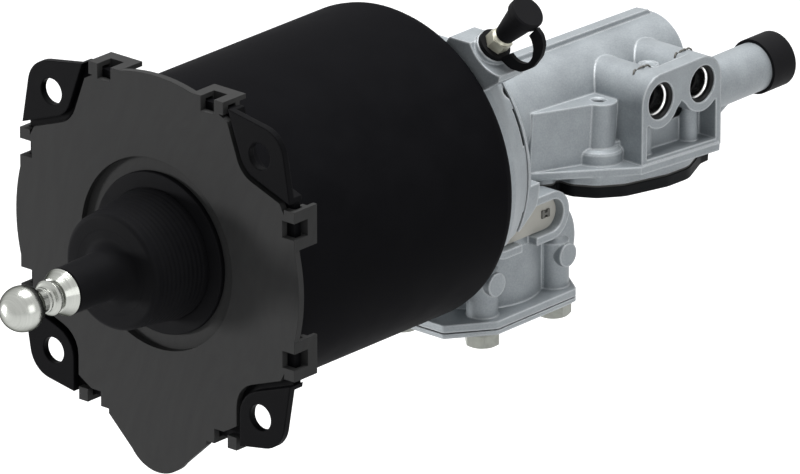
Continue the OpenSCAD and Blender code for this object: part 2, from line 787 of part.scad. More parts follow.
// Hydraulic plunger, screwed into the hub, with its head in the nose
module plunger() {
    color("#b9bdc0") difference() {
        union() {
            rod_x(spigot_r, hub_rear, hub_rear + spigot_length);
            rod_x(stem_r, stem_rear - past, hub_rear);
            rod_x(bore_r - run_gap, plunger_rear, stem_rear);
        }
        ring_x(bore_r + past, bore_r - 3.2, plunger_rear + 3, plunger_rear + 3 + 4.2);
    }
}

// Cup seal on the plunger's head
module plunger_seal() {
    color("#232325") ring_x(bore_r - run_gap, bore_r - 3.2 + run_gap, plunger_rear + 3.1, plunger_rear + 7.1);
}

// Places the head's screws, clear of the relay valve and the bleed screw
module at_head_screws() {
    for (a = [125, 150, 175, 200]) rotate([a, 0, 0]) translate([0, head_screw_circle, 0]) children();
}

// Outline of the boss that carries the bleed screw, in the YZ plane
module bleed_boss_outline() {
    top_z = 59.3;
    top_y = 30.7;
    difference() {
        polygon([[24, 44], [24, 50], [top_y, top_z], [60, top_z], [56.5, 46.2], [47, 40], [36, 36]]);
        translate([57, 66.2]) circle(17.2);
    }
}

// Moves a solid drawn along Z to the bleed screw's seat and lean
module at_bleed() {
    translate([bleed_x, bleed_y, bleed_z]) rotate([-bleed_lean, 0, 0]) children();
}

// Everything above a level over the flat on top of the head, between two places along X
module over_top_flat(x0, x1, level) {
    translate([x0, top_flat_y[0], level]) cube([x1 - x0, top_flat_y[1] - top_flat_y[0], can_r]);
}

// Cast cylinder head with the bleed boss and the gland's hub
module cylinder_head() {
    ring_r = can_in_r - run_gap;
    groove_x = spigot_front - 5;
    shade = "#9aa1a5";
    color(shade) difference() {
        union() {
            difference() {
                turned([
                    [0, seam_x], [0, bush_front], [gland_hub_r, bush_front],
                    [gland_hub_r + 1.5, head_plate_front],
                    [ring_r - head_ring_wall - 2, head_plate_front],
                    [ring_r - head_ring_wall, head_plate_front + 2],
                    [ring_r - head_ring_wall, spigot_front], [ring_r - 1, spigot_front],
                    [ring_r, spigot_front - 1], [ring_r, can_rear + can_wall + 1.4],
                    [lip_in_r - run_gap, can_rear + can_wall], [lip_in_r - run_gap, can_rear - 0.1],
                    [lip_out_r - 0.4, can_rear - 0.1], [lip_out_r - 1.2, can_rear - 5],
                    [seam_r + 2.6, can_rear - head_length * 0.62], [seam_r, seam_x]]);
                over_top_flat(seam_x - past, can_rear - 0.1, head_top);
                // Flat underneath, against the top of the relay housing
                translate([seam_x - past, -can_r, relay_top - can_r])
                    cube([can_rear - seam_x + past - head_lip, 2 * can_r, can_r]);
            }
            plate_yz(can_rear - 15.1, can_rear - 0.1) bleed_boss_outline();
            // Round pad of the bleed screw in the scoop
            at_bleed() translate([0, 0, -5]) cylinder(r = bleed_collar_r + 3, h = 5);
        }
        // Bore for the gland bush, the seal and the stem
        rod_x(bush_r, head_plate_front, bush_front + past);
        rod_x(bush_r, seam_x + 6, head_plate_front + past);
        rod_x(stem_r + 0.6, seam_x - past, seam_x + 7);
        // Groove of the seal ring
        ring_x(ring_r + past, ring_r - 2 * oring_r - 0.05, groove_x - oring_r - 0.2,
            groove_x + oring_r + 0.2);
        // Pry slots on the seam
        for (slot = [[14, 30], [-26, -15]]) plate_yz(seam_x - past, seam_x + 1.4)
            polygon(concat(arc([0, 0], seam_r - 3, slot[0], slot[1], 4),
                arc([0, 0], seam_r + 4, slot[1], slot[0], 4)));
        // Seat, recess and threaded hole of the bleed screw
        at_bleed() cylinder(r = 8.8, h = 14);
        at_bleed() translate([0, 0, -12]) cylinder(r = bleed_thread_r, h = 13);
        // Half-open counterbore on the seam
        rotate([37, 0, 0]) translate([0, seam_r - 3.4, 0]) rod_x(4.2, seam_x - past, seam_x + 7);
        at_head_screws() rod_x(head_screw_d / 2 + run_gap, seam_x - past, seam_x + head_screw_hold + 1);
        // Air passage from the relay valve into the can
        translate([gallery_x, 0, relay_top - past]) cylinder(r = gallery_r, h = gallery_z - relay_top + past);
        translate([0, 0, gallery_z]) rod_x(gallery_r, gallery_x, head_plate_front + past);
    }
}

// Seal ring between the head's spigot and the can
module head_seal() {
    centre_r = can_in_r - oring_r - run_gap;
    color("#222224") translate([spigot_front - 5, 0, 0]) along_x() rotate_extrude()
        translate([centre_r, 0]) circle(r = oring_r - 0.06, $fn = 24);
}

// Bronze bush that guides the plunger's stem
module gland_bush() {
    color("#b08d57") ring_x(bush_r - run_gap, stem_r + run_gap, head_plate_front, bush_front);
}

// Lip seal of the plunger's stem, behind the bush
module gland_seal() {
    color("#252527") ring_x(bush_r - run_gap, stem_r + run_gap, head_plate_front - gland_seal_length,
        head_plate_front - 0.1);
}

// Thin gasket in the seam between head and servo body
module head_gasket() {
    color("#2b2b2b") difference() {
        ring_x(seam_r - 0.7, bore_r + 3, seam_x, servo_front);
        over_top_flat(servo_front - past, seam_x + past, head_top - 0.7);
        translate([servo_front - past, -can_r, relay_top - can_r + 0.3]) cube([2 + past, 2 * can_r, can_r]);
        at_head_screws() rod_x(head_screw_d / 2 + 0.4, servo_front - past, seam_x + past);
    }
}

// Socket screws that hold the servo body to the head
module head_screws() {
    color("#a7abae") at_head_screws() translate([servo_flange_rear, 0, 0]) rotate([0, -90, 0])
        socket_screw(head_screw_d, 7, servo_flange + gasket_t + head_screw_hold);
}

// Outline of the base flange, in the XY plane
module base_outline(inset = 0) {
    left = arm_corner_y - inset;
    polygon([[arm_front - inset, -18 + inset], [arm_front - inset, left],
        [block_front + inset * 0.4, port_face_y + 1 - inset],
        [block_rear + inset, port_face_y + 1 - inset], [block_rear - 12 + inset, 22],
        [block_rear - 12 + inset, -18 + inset]]);
}

// Outline of the port block in the XZ plane: two bosses over an open frame, joined by a drop
module block_outline(drop) {
    for (x = port_x) translate([x, port_z]) circle(boss_r);
    front_low = base_z - 1;
    rear_low = base_z - (block_front - block_rear) * tan(casting_tilt) - 1.1;
    web_top = port_z + boss_r - drop;
    polygon([[block_front, port_z], [port_x[0], web_top], [port_x[1], web_top],
        [block_rear, port_z], [block_rear, rear_low], [block_front, front_low]]);
}

// Open pocket under the two port bosses, in the XZ plane
module pocket_outline() {
    front = block_front - block_wall;
    rear = block_rear + block_wall;
    low = base_z + 1.5;
    rear_low = base_z - (front - rear) * tan(casting_tilt) + 1.5;
    middle = (port_x[0] + port_x[1]) / 2;
    difference() {
        polygon([[front, port_z - 9], [middle + 3, port_z - 6], [middle, port_z - 3.5],
            [middle - 3, port_z - 6],
            [rear, port_z - 9], [rear, rear_low], [front, low]]);
        for (x = port_x) translate([x, port_z]) circle(boss_r);
    }
}

// Outline of the rim under the base flange, in the XY plane
module rim_outline() {
    polygon(rounded([for (p = cover_outline) [p[0], p[1] * 0.985, p[2]]]));
}

// Outline of the chamber inside that rim, in the XY plane
module chamber_outline() {
    polygon([[-229, -16], [-229, 12], [-242, 30], [-274, 32], [-290, 22], [-292, -16]]);
}

// Servo casting: flange, nose, arm, port block, rear tube and base flange
module servo_body() {
    fillet = 14;
    pad_r = 10.8;
    wall_x = boss_column[0] + 5;
    wall_y = arm_corner_y + (arm_front - wall_x) * arm_slope;
    color("#9aa1a5") difference() {
        union() {
            difference() {
                union() {
                    rod_x(seam_r + 0.3, servo_front - flange_rim_t, servo_front);
                    rod_x(flange_core_r, servo_flange_rear, servo_front);
                    // Full thickness below the step, and on the side away from the ports
                    intersection() {
                        rod_x(seam_r + 0.3, servo_flange_rear, servo_front);
                        union() {
                            translate([servo_flange_rear, -seam_r, -seam_r])
                                cube([servo_flange, 2 * seam_r, seam_r + flange_step_z]);
                            translate([servo_flange_rear, -seam_r, -seam_r])
                                cube([servo_flange, seam_r, 2 * seam_r]);
                        }
                    }
                }
                over_top_flat(servo_flange_rear - past, servo_front + past, head_top);
                // Chamfer under the flange on the ports' side
                plate_xz(20, seam_r + past) polygon([[servo_flange_rear - past, -12.7],
                    [servo_front - 0.6, -24.5], [servo_front - 0.6, -can_r],
                    [servo_flange_rear - past, -can_r]]);
            }
            // Root of the nose, swept into the flange
            turned(concat([[0, servo_front], [nose_root_r + fillet, servo_front]],
                arc([nose_root_r + fillet, servo_flange_rear - fillet], fillet, 90, 180, 6),
                [[0, servo_flange_rear - fillet]]));
            translate([nose_end + 2, 0, 0]) along_x()
                cylinder(r1 = nose_end_r, r2 = nose_root_r, h = nose_length - 2);
            translate([nose_end, 0, 0]) along_x() cylinder(r1 = nose_end_r - 1.8, r2 = nose_end_r, h = 2);
            // Raised rib along the top of the nose
            rotate([6, 0, 0]) plate_xz(-nose_rib_w / 2, nose_rib_w / 2) polygon([
                [servo_flange_rear, 0], [servo_flange_rear, nose_root_r + nose_rib],
                [nose_end + 6, nose_end_r + nose_rib], [nose_end + 4, nose_end_r + nose_rib - 1.6],
                [nose_end + 4, 0]]);
            // Arm between the head and the port block
            tipped() plate_xy(base_z - 0.1, arm_top) polygon([[arm_front, 0], [arm_front, arm_corner_y],
                [wall_x, wall_y], [block_front - 1, wall_y], [block_front - 1, 0]]);
            tipped() translate([boss_column[0], boss_column[1], base_z - 0.1])
                cylinder(r = boss_column[2], h = arm_height + 0.1);
            // Round pad at the foot of the arm
            tipped() translate([boss_column[0], boss_column[1], base_z - 0.1]) {
                cylinder(r = pad_r, h = 4.6);
                translate([0, 0, 4.5]) cylinder(r1 = pad_r, r2 = pad_r - 0.6, h = 1);
                translate([0, 0, 5.4]) cylinder(r1 = pad_r - 0.6, r2 = pad_r - 2.2, h = 1.1);
            }
            tipped() plate_xy(base_low, base_z) base_outline();
            tipped() plate_xy(rim_low, base_low + 0.1) rim_outline();
            // Port block and its two bosses
            plate_xz(0, port_face_y) block_outline(web_drop);
            plate_xz(port_face_y - face_t, port_face_y) block_outline(0);
            // Body of the block between the nose and the rear tube
            plate_xz(-12, pocket_y - 3) polygon([[wall_x, -15], [block_rear - 10, -10],
                [block_rear - 10, base_z - 6], [wall_x, base_z]]);
            plate_xz(-11.5, 12) polygon([[arm_front - 4, -16], [wall_x - 1, -15.4],
                [wall_x - 1, base_z + 0.5], [arm_front - 4, base_z + 2]]);
            // Rear tube with its web
            translate([0, rear_tube_y, rear_tube_z]) rod_x(rear_tube_r, -rear_tube_end, rear_tube_front);
            plate_xz(rear_tube_y - 2, rear_tube_y + 2) polygon([[rear_tube_front, rear_tube_z],
                [block_rear - 22, rear_tube_z - rear_tube_r + 1],
                [block_rear - 14, rear_tube_z - rear_tube_r - 3],
                [block_rear - 3, base_z - 5], [rear_tube_front, base_z - 5]]);
            // Pad that carries the relay housing
            translate([servo_flange_rear - pad_length, -20, relay_top]) cube([pad_length + past, 36, 20]);
        }
        // Flat underneath, against the top of the relay housing
        translate([servo_flange_rear - fillet - past, -can_r, relay_top - can_r])
            cube([servo_flange + fillet + 2 * past, 2 * can_r, can_r]);
        // Hydraulic bore
        rod_x(bore_r, bore_end, servo_front + past);
        // Sockets and feeds of the two ports
        for (x = port_x) translate([x, 0, port_z]) along_y() {
            translate([0, 0, port_face_y - socket_depth]) cylinder(r = socket_r, h = socket_depth + past);
            cylinder(r = 3.5, h = port_face_y);
            translate([0, 0, port_face_y - socket_depth - 6]) cylinder(r = port_ring_r - 0.6, h = 7);
        }
        // Pocket below the ports with two screw columns left standing
        difference() {
            plate_xz(pocket_y, port_face_y + past) pocket_outline();
            for (place = [[block_front - 9, 3.6], [block_rear + 12, 4]])
                translate([place[0], pocket_y + 1.5, -40]) cylinder(r = place[1], h = 40);
        }
        // Recess under the base flange, closed by the black cover
        tipped() plate_xy(rim_low - past, base_low) chamber_outline();
        translate([0, rear_tube_y, rear_tube_z])
            rod_x(rear_bore_r, -rear_tube_end - past, rear_tube_front + 14);
        // Screw hole on top of the arm's column
        tipped() translate([boss_column[0], boss_column[1], arm_top - 12]) {
            cylinder(r = 2.5, h = 13);
            translate([0, 0, 11.2]) cylinder(r1 = 2.5, r2 = 3.6, h = 1);
        }
        tipped() for (p = cover_screw_places) translate([p[0], p[1], rim_low - past])
            cylinder(r = 2 + run_gap, h = rim_drop + base_t + past - 0.6);
        at_head_screws() rod_x(head_screw_d / 2 + run_gap, servo_flange_rear - past, servo_front + past);
        at_head_screws() rod_x(0.85 * head_screw_d, servo_flange_rear - head_screw_room, servo_flange_rear);
        // Feed from the hydraulic bore down to the relay piston
        translate([relay_x, 0, relay_top - past]) cylinder(r = 3, h = bore_r + past);
    }
}

// Black grip sleeves in the mouths of the two ports
module port_sleeves() {
    color("#161617") for (x = port_x) translate([x, 0, port_z]) along_y()
        translate([0, 0, port_face_y - 5.6]) difference() {
            cylinder(r = socket_r - run_gap, h = 4.8);
            translate([0, 0, -past]) cylinder(r = sleeve_in_r, h = 4.8 + 2 * past);
            translate([0, 0, 3.8]) cylinder(r1 = sleeve_in_r, r2 = sleeve_in_r + 0.8, h = 1.1);
        }
}

// Bright rings behind the grip sleeves
module port_rings() {
    color("#dfe1e2") for (x = port_x) translate([x, 0, port_z]) along_y()
        translate([0, 0, port_face_y - 7.7]) difference() {
            cylinder(r = socket_r - run_gap, h = 2);
            translate([0, 0, -past]) cylinder(r = port_ring_r, h = 2 + 2 * past);
            translate([0, 0, 1]) cylinder(r1 = port_ring_r, r2 = port_ring_r + 1.1, h = 1.1);
        }
}

// Thin seal sheet between the casting's rim and the black cover
module cover_sheet() {
    color("#3a3a38") tipped() plate_xy(sheet_low, rim_low) difference() {
        rim_outline();
        chamber_outline();
        for (p = cover_screw_places) translate(p) circle(r = 2.3);
    }
}

// Moulded black cover under the servo body
module valve_cover() {
    color("#1a1b1c") tipped() difference() {
        plate_xy(cover_low, sheet_low) polygon(rounded(cover_outline));
        for (p = cover_screw_places) translate([p[0], p[1], cover_low - past]) cylinder(r = 2.3, h = 10);
        for (p = cover_screw_places) translate([p[0], p[1], cover_low - past])
            cylinder(r = 3.9, h = 2.2 + past);
    }
}

// Screws that hold the black cover
module cover_screws() {
    color("#b4b7b9") tipped() for (p = cover_screw_places) translate([p[0], p[1], cover_low + 2.2])
        rotate([180, 0, 0]) socket_screw(4, 2.6, valve_cover_t + cover_sheet_t + rim_drop);
}

// Push-on cap at the end of the rear tube
module end_cap() {
    inside = rear_tube_r + run_gap;
    color("#171718") translate([0, rear_tube_y, rear_tube_z]) difference() {
        union() {
            rod_x(inside + end_cap_wall, -rear_tube_end - seat_gap - end_cap_floor + 0.8, end_cap_front);
            translate([-rear_tube_end - seat_gap - end_cap_floor, 0, 0]) along_x()
                cylinder(r1 = inside + end_cap_wall - 0.8, r2 = inside + end_cap_wall, h = 0.8);
        }
        rod_x(inside, -rear_tube_end - seat_gap, end_cap_front + past);
    }
}

// Porous plug inside the rear tube
module vent_filter() {
    color("#8a8676") translate([0, rear_tube_y, rear_tube_z])
        rod_x(rear_bore_r - run_gap, -rear_tube_end + 2, -rear_tube_end + 22);
}

// Base outline of the relay housing, in the XY plane
module relay_base_outline(extra = 0) {
    x = relay_half_x + extra;
    y = relay_half_y + extra;
    side_x = x - 18;
    end_y = y - 13.3;
    back = relay_x - relay_back_x - extra;
    polygon(rounded([
        [relay_x + x, end_y, 2], [relay_x + side_x, y, 2.5], [relay_x - side_x, y, 3], [back, y - 18, 5],
        [back, 18 - y, 5], [relay_x - side_x, -y, 3], [relay_x + side_x, -y, 2.5],
        [relay_x + x, -end_y, 2]]));
    // Ear of the bolt on the far side
    translate([relay_x, -relay_bolt_circle]) circle(r = column_r + 2 + extra);
}

// Places the relay's bolts
module at_relay_bolts() {
    for (a = relay_bolt_angles) translate([relay_x, 0, 0]) rotate([0, 0, a])
        translate([relay_bolt_circle, 0, 0]) children();
}

// Outline of the rim around the name plate, in the XZ plane
module plate_outline(grow) {
    r = plate_h / 2 + grow;
    for (way = [-1, 1]) translate([plate_mid_x + way * plate_rivet_pitch / 2, plate_z]) circle(r);
    translate([plate_mid_x - plate_rivet_pitch / 2, plate_z - r]) square([plate_rivet_pitch, 2 * r]);
}

// Relay housing: stepped barrel, columns, side boss, gallery and rim of the name plate
module relay_housing() {
    boss_x = relay_x - 12;
    boss_z = -49.5;
    root = relay_base - 1;
    color("#9aa1a5") difference() {
        union() {
            translate([relay_x, 0, root]) cylinder(r = relay_r, h = -45 - root);
            translate([relay_x, 0, -45.1]) cylinder(r1 = relay_r, r2 = 24, h = 10.1);
            translate([relay_x, 0, -35.1]) cylinder(r = 24, h = relay_top + 35.1);
            plate_xy(relay_low, relay_base) relay_base_outline();
            at_relay_bolts() {
                translate([0, 0, root]) cylinder(r = column_r, h = column_top - root);
                translate([0, 0, column_top]) cylinder(r1 = column_r, r2 = column_r - 2, h = 2);
                translate([-8, -column_r + 1.5, root]) cube([8, 2 * column_r - 3, column_top - root]);
            }
            // Round side boss behind the name plate
            difference() {
                translate([boss_x, -20, boss_z]) along_y() cylinder(r = 19.3, h = 47);
                // The barrel stays bare between the two columns
                translate([relay_x - 20, 0, relay_base - 10]) cube([40, 40, -47 - relay_base + 10]);
            }
            // Wall and rim that carry the name plate
            plate_xz(24, plate_rim_y) plate_outline(plate_rim_w);
            // Neck of the air gallery, up against the head's flat
            translate([gallery_x - 12, -5.5, -57]) cube([18, 11, relay_top + 57]);
            // Sight pads on two of the columns
            for (a = [relay_bolt_angles[1], relay_bolt_angles[2]])
                translate([relay_x + relay_bolt_circle * cos(a), relay_bolt_circle * sin(a), -55])
                along_y() cylinder(r = 5, h = column_r + 1.6);
        }
        // Recess of the name plate
        plate_xz(plate_rim_y - plate_recess, plate_rim_y + past) plate_outline(0.3);
        // Gap in the middle of the rim's lower side
        translate([plate_mid_x - rim_gap / 2, plate_rim_y - plate_recess,
            plate_z - plate_h / 2 - plate_rim_w - past])
            cube([rim_gap, plate_recess + past, plate_rim_w + 2 * past]);
        for (way = [-1, 1]) translate([plate_mid_x + way * plate_rivet_pitch / 2, 0, plate_z]) along_y()
            translate([0, 0, plate_face_y - rivet_hold - 0.2])
                cylinder(r = 1.5 + run_gap, h = rivet_hold + 0.2);
        // Stepped bore of the relay valve, with the valve's seat between its two halves
        translate([relay_x, 0, relay_low - past]) cylinder(r = relay_in_r, h = seat_low - relay_low + past);
        translate([relay_x, 0, seat_low - past]) cylinder(r = 7, h = seat_t + 2 * past);
        translate([relay_x, 0, seat_low + seat_t])
            cylinder(r = relay_piston_r + run_gap, h = piston_top + 6 - seat_low - seat_t);
        translate([relay_x, 0, piston_top]) cylinder(r = 3, h = relay_top - piston_top + past);
        // Air gallery from the chamber above the seat up to the head
        translate([0, 0, seat_low + seat_t + gallery_r]) rod_x(gallery_r, relay_x, gallery_x);
        translate([gallery_x, 0, seat_low + seat_t])
            cylinder(r = gallery_r, h = relay_top - seat_low - seat_t + past);
        // Room for the black cover and its tipped casting
        tipped() translate([-260, -40, cover_low - 1]) cube([50.7, 63, 30]);
        at_relay_bolts() translate([0, 0, relay_low - past])
            cylinder(d = relay_bolt_d + 2 * run_gap, h = column_top - relay_low - 2);
    }
}

// Gasket between the relay housing and its bottom plate
module relay_gasket() {
    color("#2c2c2b") plate_xy(relay_low - relay_gasket_t, relay_low) difference() {
        relay_base_outline(-0.6);
        translate([relay_x, 0]) circle(relay_in_r);
        for (a = relay_bolt_angles)
            translate([relay_x + relay_bolt_circle * cos(a), relay_bolt_circle * sin(a)])
            circle(d = relay_bolt_d + 1);
    }
}

// Bottom plate of the relay valve, with the vent in its middle
module relay_bottom_plate() {
    plate_top = bottom_plate_low + bottom_plate_t;
    color("#a2a8ab") difference() {
        union() {
            plate_xy(bottom_plate_low + 0.8, plate_top) relay_base_outline(0);
            plate_xy(bottom_plate_low, bottom_plate_low + 0.9) relay_base_outline(-0.9);
            translate([relay_x, 0, bottom_plate_low])
                cylinder(r = relay_in_r - run_gap, h = bottom_plate_t + 3);
            translate([relay_x, 0, bottom_plate_low - 6]) cylinder(r = 12, h = 7);
        }
        translate([relay_x, 0, bottom_plate_low - 7]) cylinder(r = 8.5, h = 12);
        translate([relay_x, 0, bottom_plate_low]) cylinder(r = 6.5, h = 20);
        at_relay_bolts() translate([0, 0, bottom_plate_low - past])
            cylinder(d = relay_bolt_d + 2 * run_gap, h = bottom_plate_t + 2 * past);
    }
}

// Hexagon bolts that hold the bottom plate
module relay_bolts() {
    shank = column_top - bottom_plate_low - 8;
    color("#c3c5bf") at_relay_bolts() translate([0, 0, bottom_plate_low]) {
        hex_screw(relay_bolt_d, relay_bolt_flats, relay_bolt_head, shank);
        translate([0, 0, -1.2]) cylinder(r = relay_bolt_flats / 2 + 0.9, h = 1.2);
    }
}

// Piston of the relay valve
module relay_piston() {
    color("#b3b7ba") difference() {
        union() {
            translate([relay_x, 0, piston_top - 5]) cylinder(r = relay_piston_r, h = 5);
            translate([relay_x, 0, piston_top - piston_skirt]) cylinder(r = 5.2, h = piston_skirt + 2);
        }
        translate([relay_x, 0, piston_top - 3.6]) difference() {
            cylinder(r = relay_piston_r + past, h = 2.2);
            translate([0, 0, -past]) cylinder(r = relay_piston_r - 2.2, h = 5);
        }
        translate([relay_x, 0, piston_top - piston_skirt - past]) cylinder(r = 3, h = piston_skirt - 4);
    }
}

// Seal ring in the relay piston's groove
module relay_piston_seal() {
    color("#232324") translate([relay_x, 0, piston_top - 3.5]) difference() {
        cylinder(r = relay_piston_r, h = 2);
        translate([0, 0, -past]) cylinder(r = relay_piston_r - 2.2 + run_gap, h = 4);
    }
}

// Return spring below the relay piston
module relay_spring() {
    low = seat_low + seat_t + seat_gap;
    color("#74787b") translate([relay_x, 0, low]) helix(13, 1, piston_top - 5 - low - seat_gap, 4, 6, 16);
}

// Inlet valve with its rubber seat and guide stem
module relay_valve() {
    disc_top = seat_low - 0.1;
    color("#2a2a2c") difference() {
        union() {
            translate([relay_x, 0, disc_top - 3]) cylinder(r = 9, h = 3);
            translate([relay_x, 0, bottom_plate_low + 1])
                cylinder(r = 6.4, h = disc_top - bottom_plate_low - 2);
        }
        translate([relay_x, 0, bottom_plate_low]) cylinder(r = 2.6, h = 40);
    }
}

// Bare type plate in the rim of the relay housing
module name_plate() {
    color("#8f8b82") difference() {
        plate_xz(plate_face_y - plate_t, plate_face_y) plate_outline(0);
        for (way = [-1, 1]) translate([plate_mid_x + way * plate_rivet_pitch / 2, 0, plate_z]) along_y()
            translate([0, 0, plate_face_y - plate_t - past])
                cylinder(r = 1.5 + run_gap, h = plate_t + 2 * past);
    }
}

// Rivets of the type plate
module plate_rivets() {
    color("#b9b6ac") for (way = [-1, 1])
        translate([plate_mid_x + way * plate_rivet_pitch / 2, 0, plate_z]) along_y() {
            translate([0, 0, plate_face_y - rivet_hold]) cylinder(r = 1.5, h = rivet_hold + 0.1);
            translate([0, 0, plate_face_y]) cylinder(r1 = 2.4, r2 = 1.3, h = 1.1);
        }
}

// Bleed screw: thread, collar, hexagon, cone and nipple
module bleed_screw() {
    nipple_low = hex_top + 1.5;
    bead_z = nipple_low + 5;
    color("#c7c4b4") at_bleed() difference() {
        union() {
            translate([0, 0, -11]) cylinder(r = bleed_thread_r - run_gap, h = 12);
            translate([0, 0, 0.1]) cylinder(r = bleed_collar_r, h = hex_low);
            translate([0, 0, hex_low]) cylinder(d = bleed_flats / cos(30), h = bleed_hex, $fn = 6);
            translate([0, 0, hex_top - 0.1]) cylinder(r1 = bleed_flats / 2 - 0.2, r2 = nipple_r, h = 1.6);
            translate([0, 0, nipple_low - 0.1]) cylinder(r = nipple_r, h = bead_z + 1.2 - nipple_low);
            translate([0, 0, bead_z]) cylinder(r1 = nipple_r, r2 = nipple_r + 0.5, h = 1.5);
            translate([0, 0, bead_z + 1.5]) cylinder(r1 = nipple_r + 0.5, r2 = nipple_r - 0.6, h = 3);
        }
        translate([0, 0, -8]) cylinder(r = 1.2, h = 40);
    }
}

// Rubber cap on the bleed screw
module bleed_cap() {
    color("#16171a") at_bleed() difference() {
        union() {
            translate([0, 0, cap_low])
                cylinder(r1 = cap_neck_r, r2 = cap_head_r - 0.7, h = cap_top - 3.6 - cap_low);
            translate([0, 0, cap_top - 3.7]) cylinder(r = cap_head_r, h = 3.1);
            translate([0, 0, cap_top - 0.7]) cylinder(r1 = cap_head_r, r2 = cap_head_r - 0.7, h = 0.7);
        }
        translate([0, 0, cap_low - past]) cylinder(r = nipple_r + 0.8, h = cap_top - 7 - cap_low + past);
    }
}

// Tether: a ring under the hexagon and a flat loop that rises beside the cap
module bleed_tether() {
    ring_low = 0.15;
    cap_side = cap_head_r + seat_gap;
    color("#17181b") at_bleed() {
        difference() {
            translate([0, 0, ring_low]) cylinder(r = bleed_collar_r + 2.5, h = tether_t);
            translate([0, 0, -past]) cylinder(r = bleed_collar_r + run_gap, h = tether_t + 2 * past);
        }
        translate([-tether_t / 2, 0, 0]) rotate([90, 0, 90]) linear_extrude(tether_t) polygon(rounded([
            [5.7, ring_low, 0], [11.5, 1.6, 6], [16, 5.7, 5], [18.1, 12.1, 9], [17.3, 19.6, 8],
            [14.7, 24.2, 5], [11.1, 26.2, 3], [cap_side, 26.1, 0], [cap_side, 20.5, 0], [9.4, 20.4, 2],
            [12.5, 18.8, 4], [15.1, 15.2, 5], [15.6, 10.7, 5], [11.5, 6.9, 6], [7.4, 6.4, 0]], 3));
    }
}

can();
ear_plate();
front_cover();
boot();
push_rod();
rod_seat();
seat_ring();
air_piston();
piston_seal();
guide_ring();
preload_spring();
plunger();
plunger_seal();
cylinder_head();
head_seal();
gland_bush();
gland_seal();
head_gasket();
head_screws();
servo_body();
port_sleeves();
port_rings();
cover_sheet();
valve_cover();
cover_screws();
end_cap();
vent_filter();
relay_housing();
relay_gasket();
relay_bottom_plate();
relay_bolts();
relay_piston();
relay_piston_seal();
relay_spring();
relay_valve();
name_plate();
plate_rivets();
bleed_screw();
bleed_cap();
bleed_tether();
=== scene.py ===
"""Looks of a clutch actuator: finishes, rubber boot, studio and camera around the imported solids."""

import json
import logging
import math
from dataclasses import dataclass
from enum import Enum
from typing import Any, Mapping, Sequence

import bmesh
import bpy
from mathutils import Matrix, Vector


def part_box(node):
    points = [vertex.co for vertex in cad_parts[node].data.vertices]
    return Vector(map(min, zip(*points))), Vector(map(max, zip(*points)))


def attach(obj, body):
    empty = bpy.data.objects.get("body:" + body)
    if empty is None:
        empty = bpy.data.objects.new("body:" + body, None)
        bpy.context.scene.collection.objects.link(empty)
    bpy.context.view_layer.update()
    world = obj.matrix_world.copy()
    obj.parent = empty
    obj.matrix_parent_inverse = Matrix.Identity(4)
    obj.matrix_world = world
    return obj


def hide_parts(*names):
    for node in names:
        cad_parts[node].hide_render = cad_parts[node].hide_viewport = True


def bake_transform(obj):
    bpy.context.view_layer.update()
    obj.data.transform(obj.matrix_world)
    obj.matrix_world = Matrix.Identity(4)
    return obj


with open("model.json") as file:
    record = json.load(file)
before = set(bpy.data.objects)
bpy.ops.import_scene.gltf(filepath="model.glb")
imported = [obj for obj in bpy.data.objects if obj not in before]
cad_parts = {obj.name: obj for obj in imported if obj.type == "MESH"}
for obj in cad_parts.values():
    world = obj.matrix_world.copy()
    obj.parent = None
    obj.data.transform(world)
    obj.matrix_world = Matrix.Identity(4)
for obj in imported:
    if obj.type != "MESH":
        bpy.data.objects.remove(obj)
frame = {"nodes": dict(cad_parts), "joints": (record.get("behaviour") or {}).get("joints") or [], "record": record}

LOG = logging.getLogger("clutch_actuator")
MM = 0.001
WHITE = (1.0, 1.0, 1.0, 1.0)
# A noise keeps mostly between these two values.
NOISE_LOW, NOISE_HIGH = 0.3, 0.7
# Corners of a turned profile get this many steps, and take at most this share of a side.
ROUND_STEPS = 5
ROUND_SHARE = 0.49
# Shorter sides, in millimetres, and smaller half angles aren't rounded as such.
SHORT, NARROW = 1e-6, 1e-3
# Points of a mesh nearer than this, in metres, are one.
WELD = 1e-7
# Rays with which an edge's rounding is found, and the weight of each finer octave of a noise.
EDGE_RAYS = 4
OCTAVE_SHARE = 0.55


class Run(Enum):
    """Run of a tool's marks: factors on X, Y and Z, where a small one draws the marks out."""

    AROUND_X = (1.0, 0.04, 0.04)
    ANY = (1.0, 1.0, 1.0)


class Axis(Enum):
    """Axis on which a turned piece stands: degrees that bring X there, and the axis turned about."""

    Y = (90.0, "Z")
    Z = (-90.0, "Y")


def linear(hex_colour: str) -> tuple[float, float, float, float]:
    """Turns an sRGB hex colour into linear red, green, blue and alpha.

    Args:
        hex_colour: Colour as "#rrggbb".

    Returns:
        Linear colour with alpha 1.
    """
    channels = [int(hex_colour[i:i + 2], 16) / 255 for i in (1, 3, 5)]
    turned = [c / 12.92 if c <= 0.04045 else ((c + 0.055) / 1.055) ** 2.4 for c in channels]
    return (turned[0], turned[1], turned[2], 1.0)


def add(
    tree: bpy.types.NodeTree,
    kind: str,
    settings: Mapping[str | int, Any] | None = None,
    links: Mapping[str | int, bpy.types.NodeSocket] | None = None,
) -> bpy.types.Node:
    """Adds a node with its settings and its incoming links.

    Args:
        tree: Node tree that gets the node.
        kind: Blender's name of the node type.
        settings: Input defaults by socket name, or properties of the node by name.
        links: Outputs that feed the node's inputs, by input name or number.

    Returns:
        The new node.
    """
    node = tree.nodes.new(kind)
    for key, value in (settings or {}).items():
        if isinstance(key, str) and hasattr(node, key):
            setattr(node, key, value)
        else:
            node.inputs[key].default_value = value
    for key, socket in (links or {}).items():
        tree.links.new(socket, node.inputs[key])
    return node


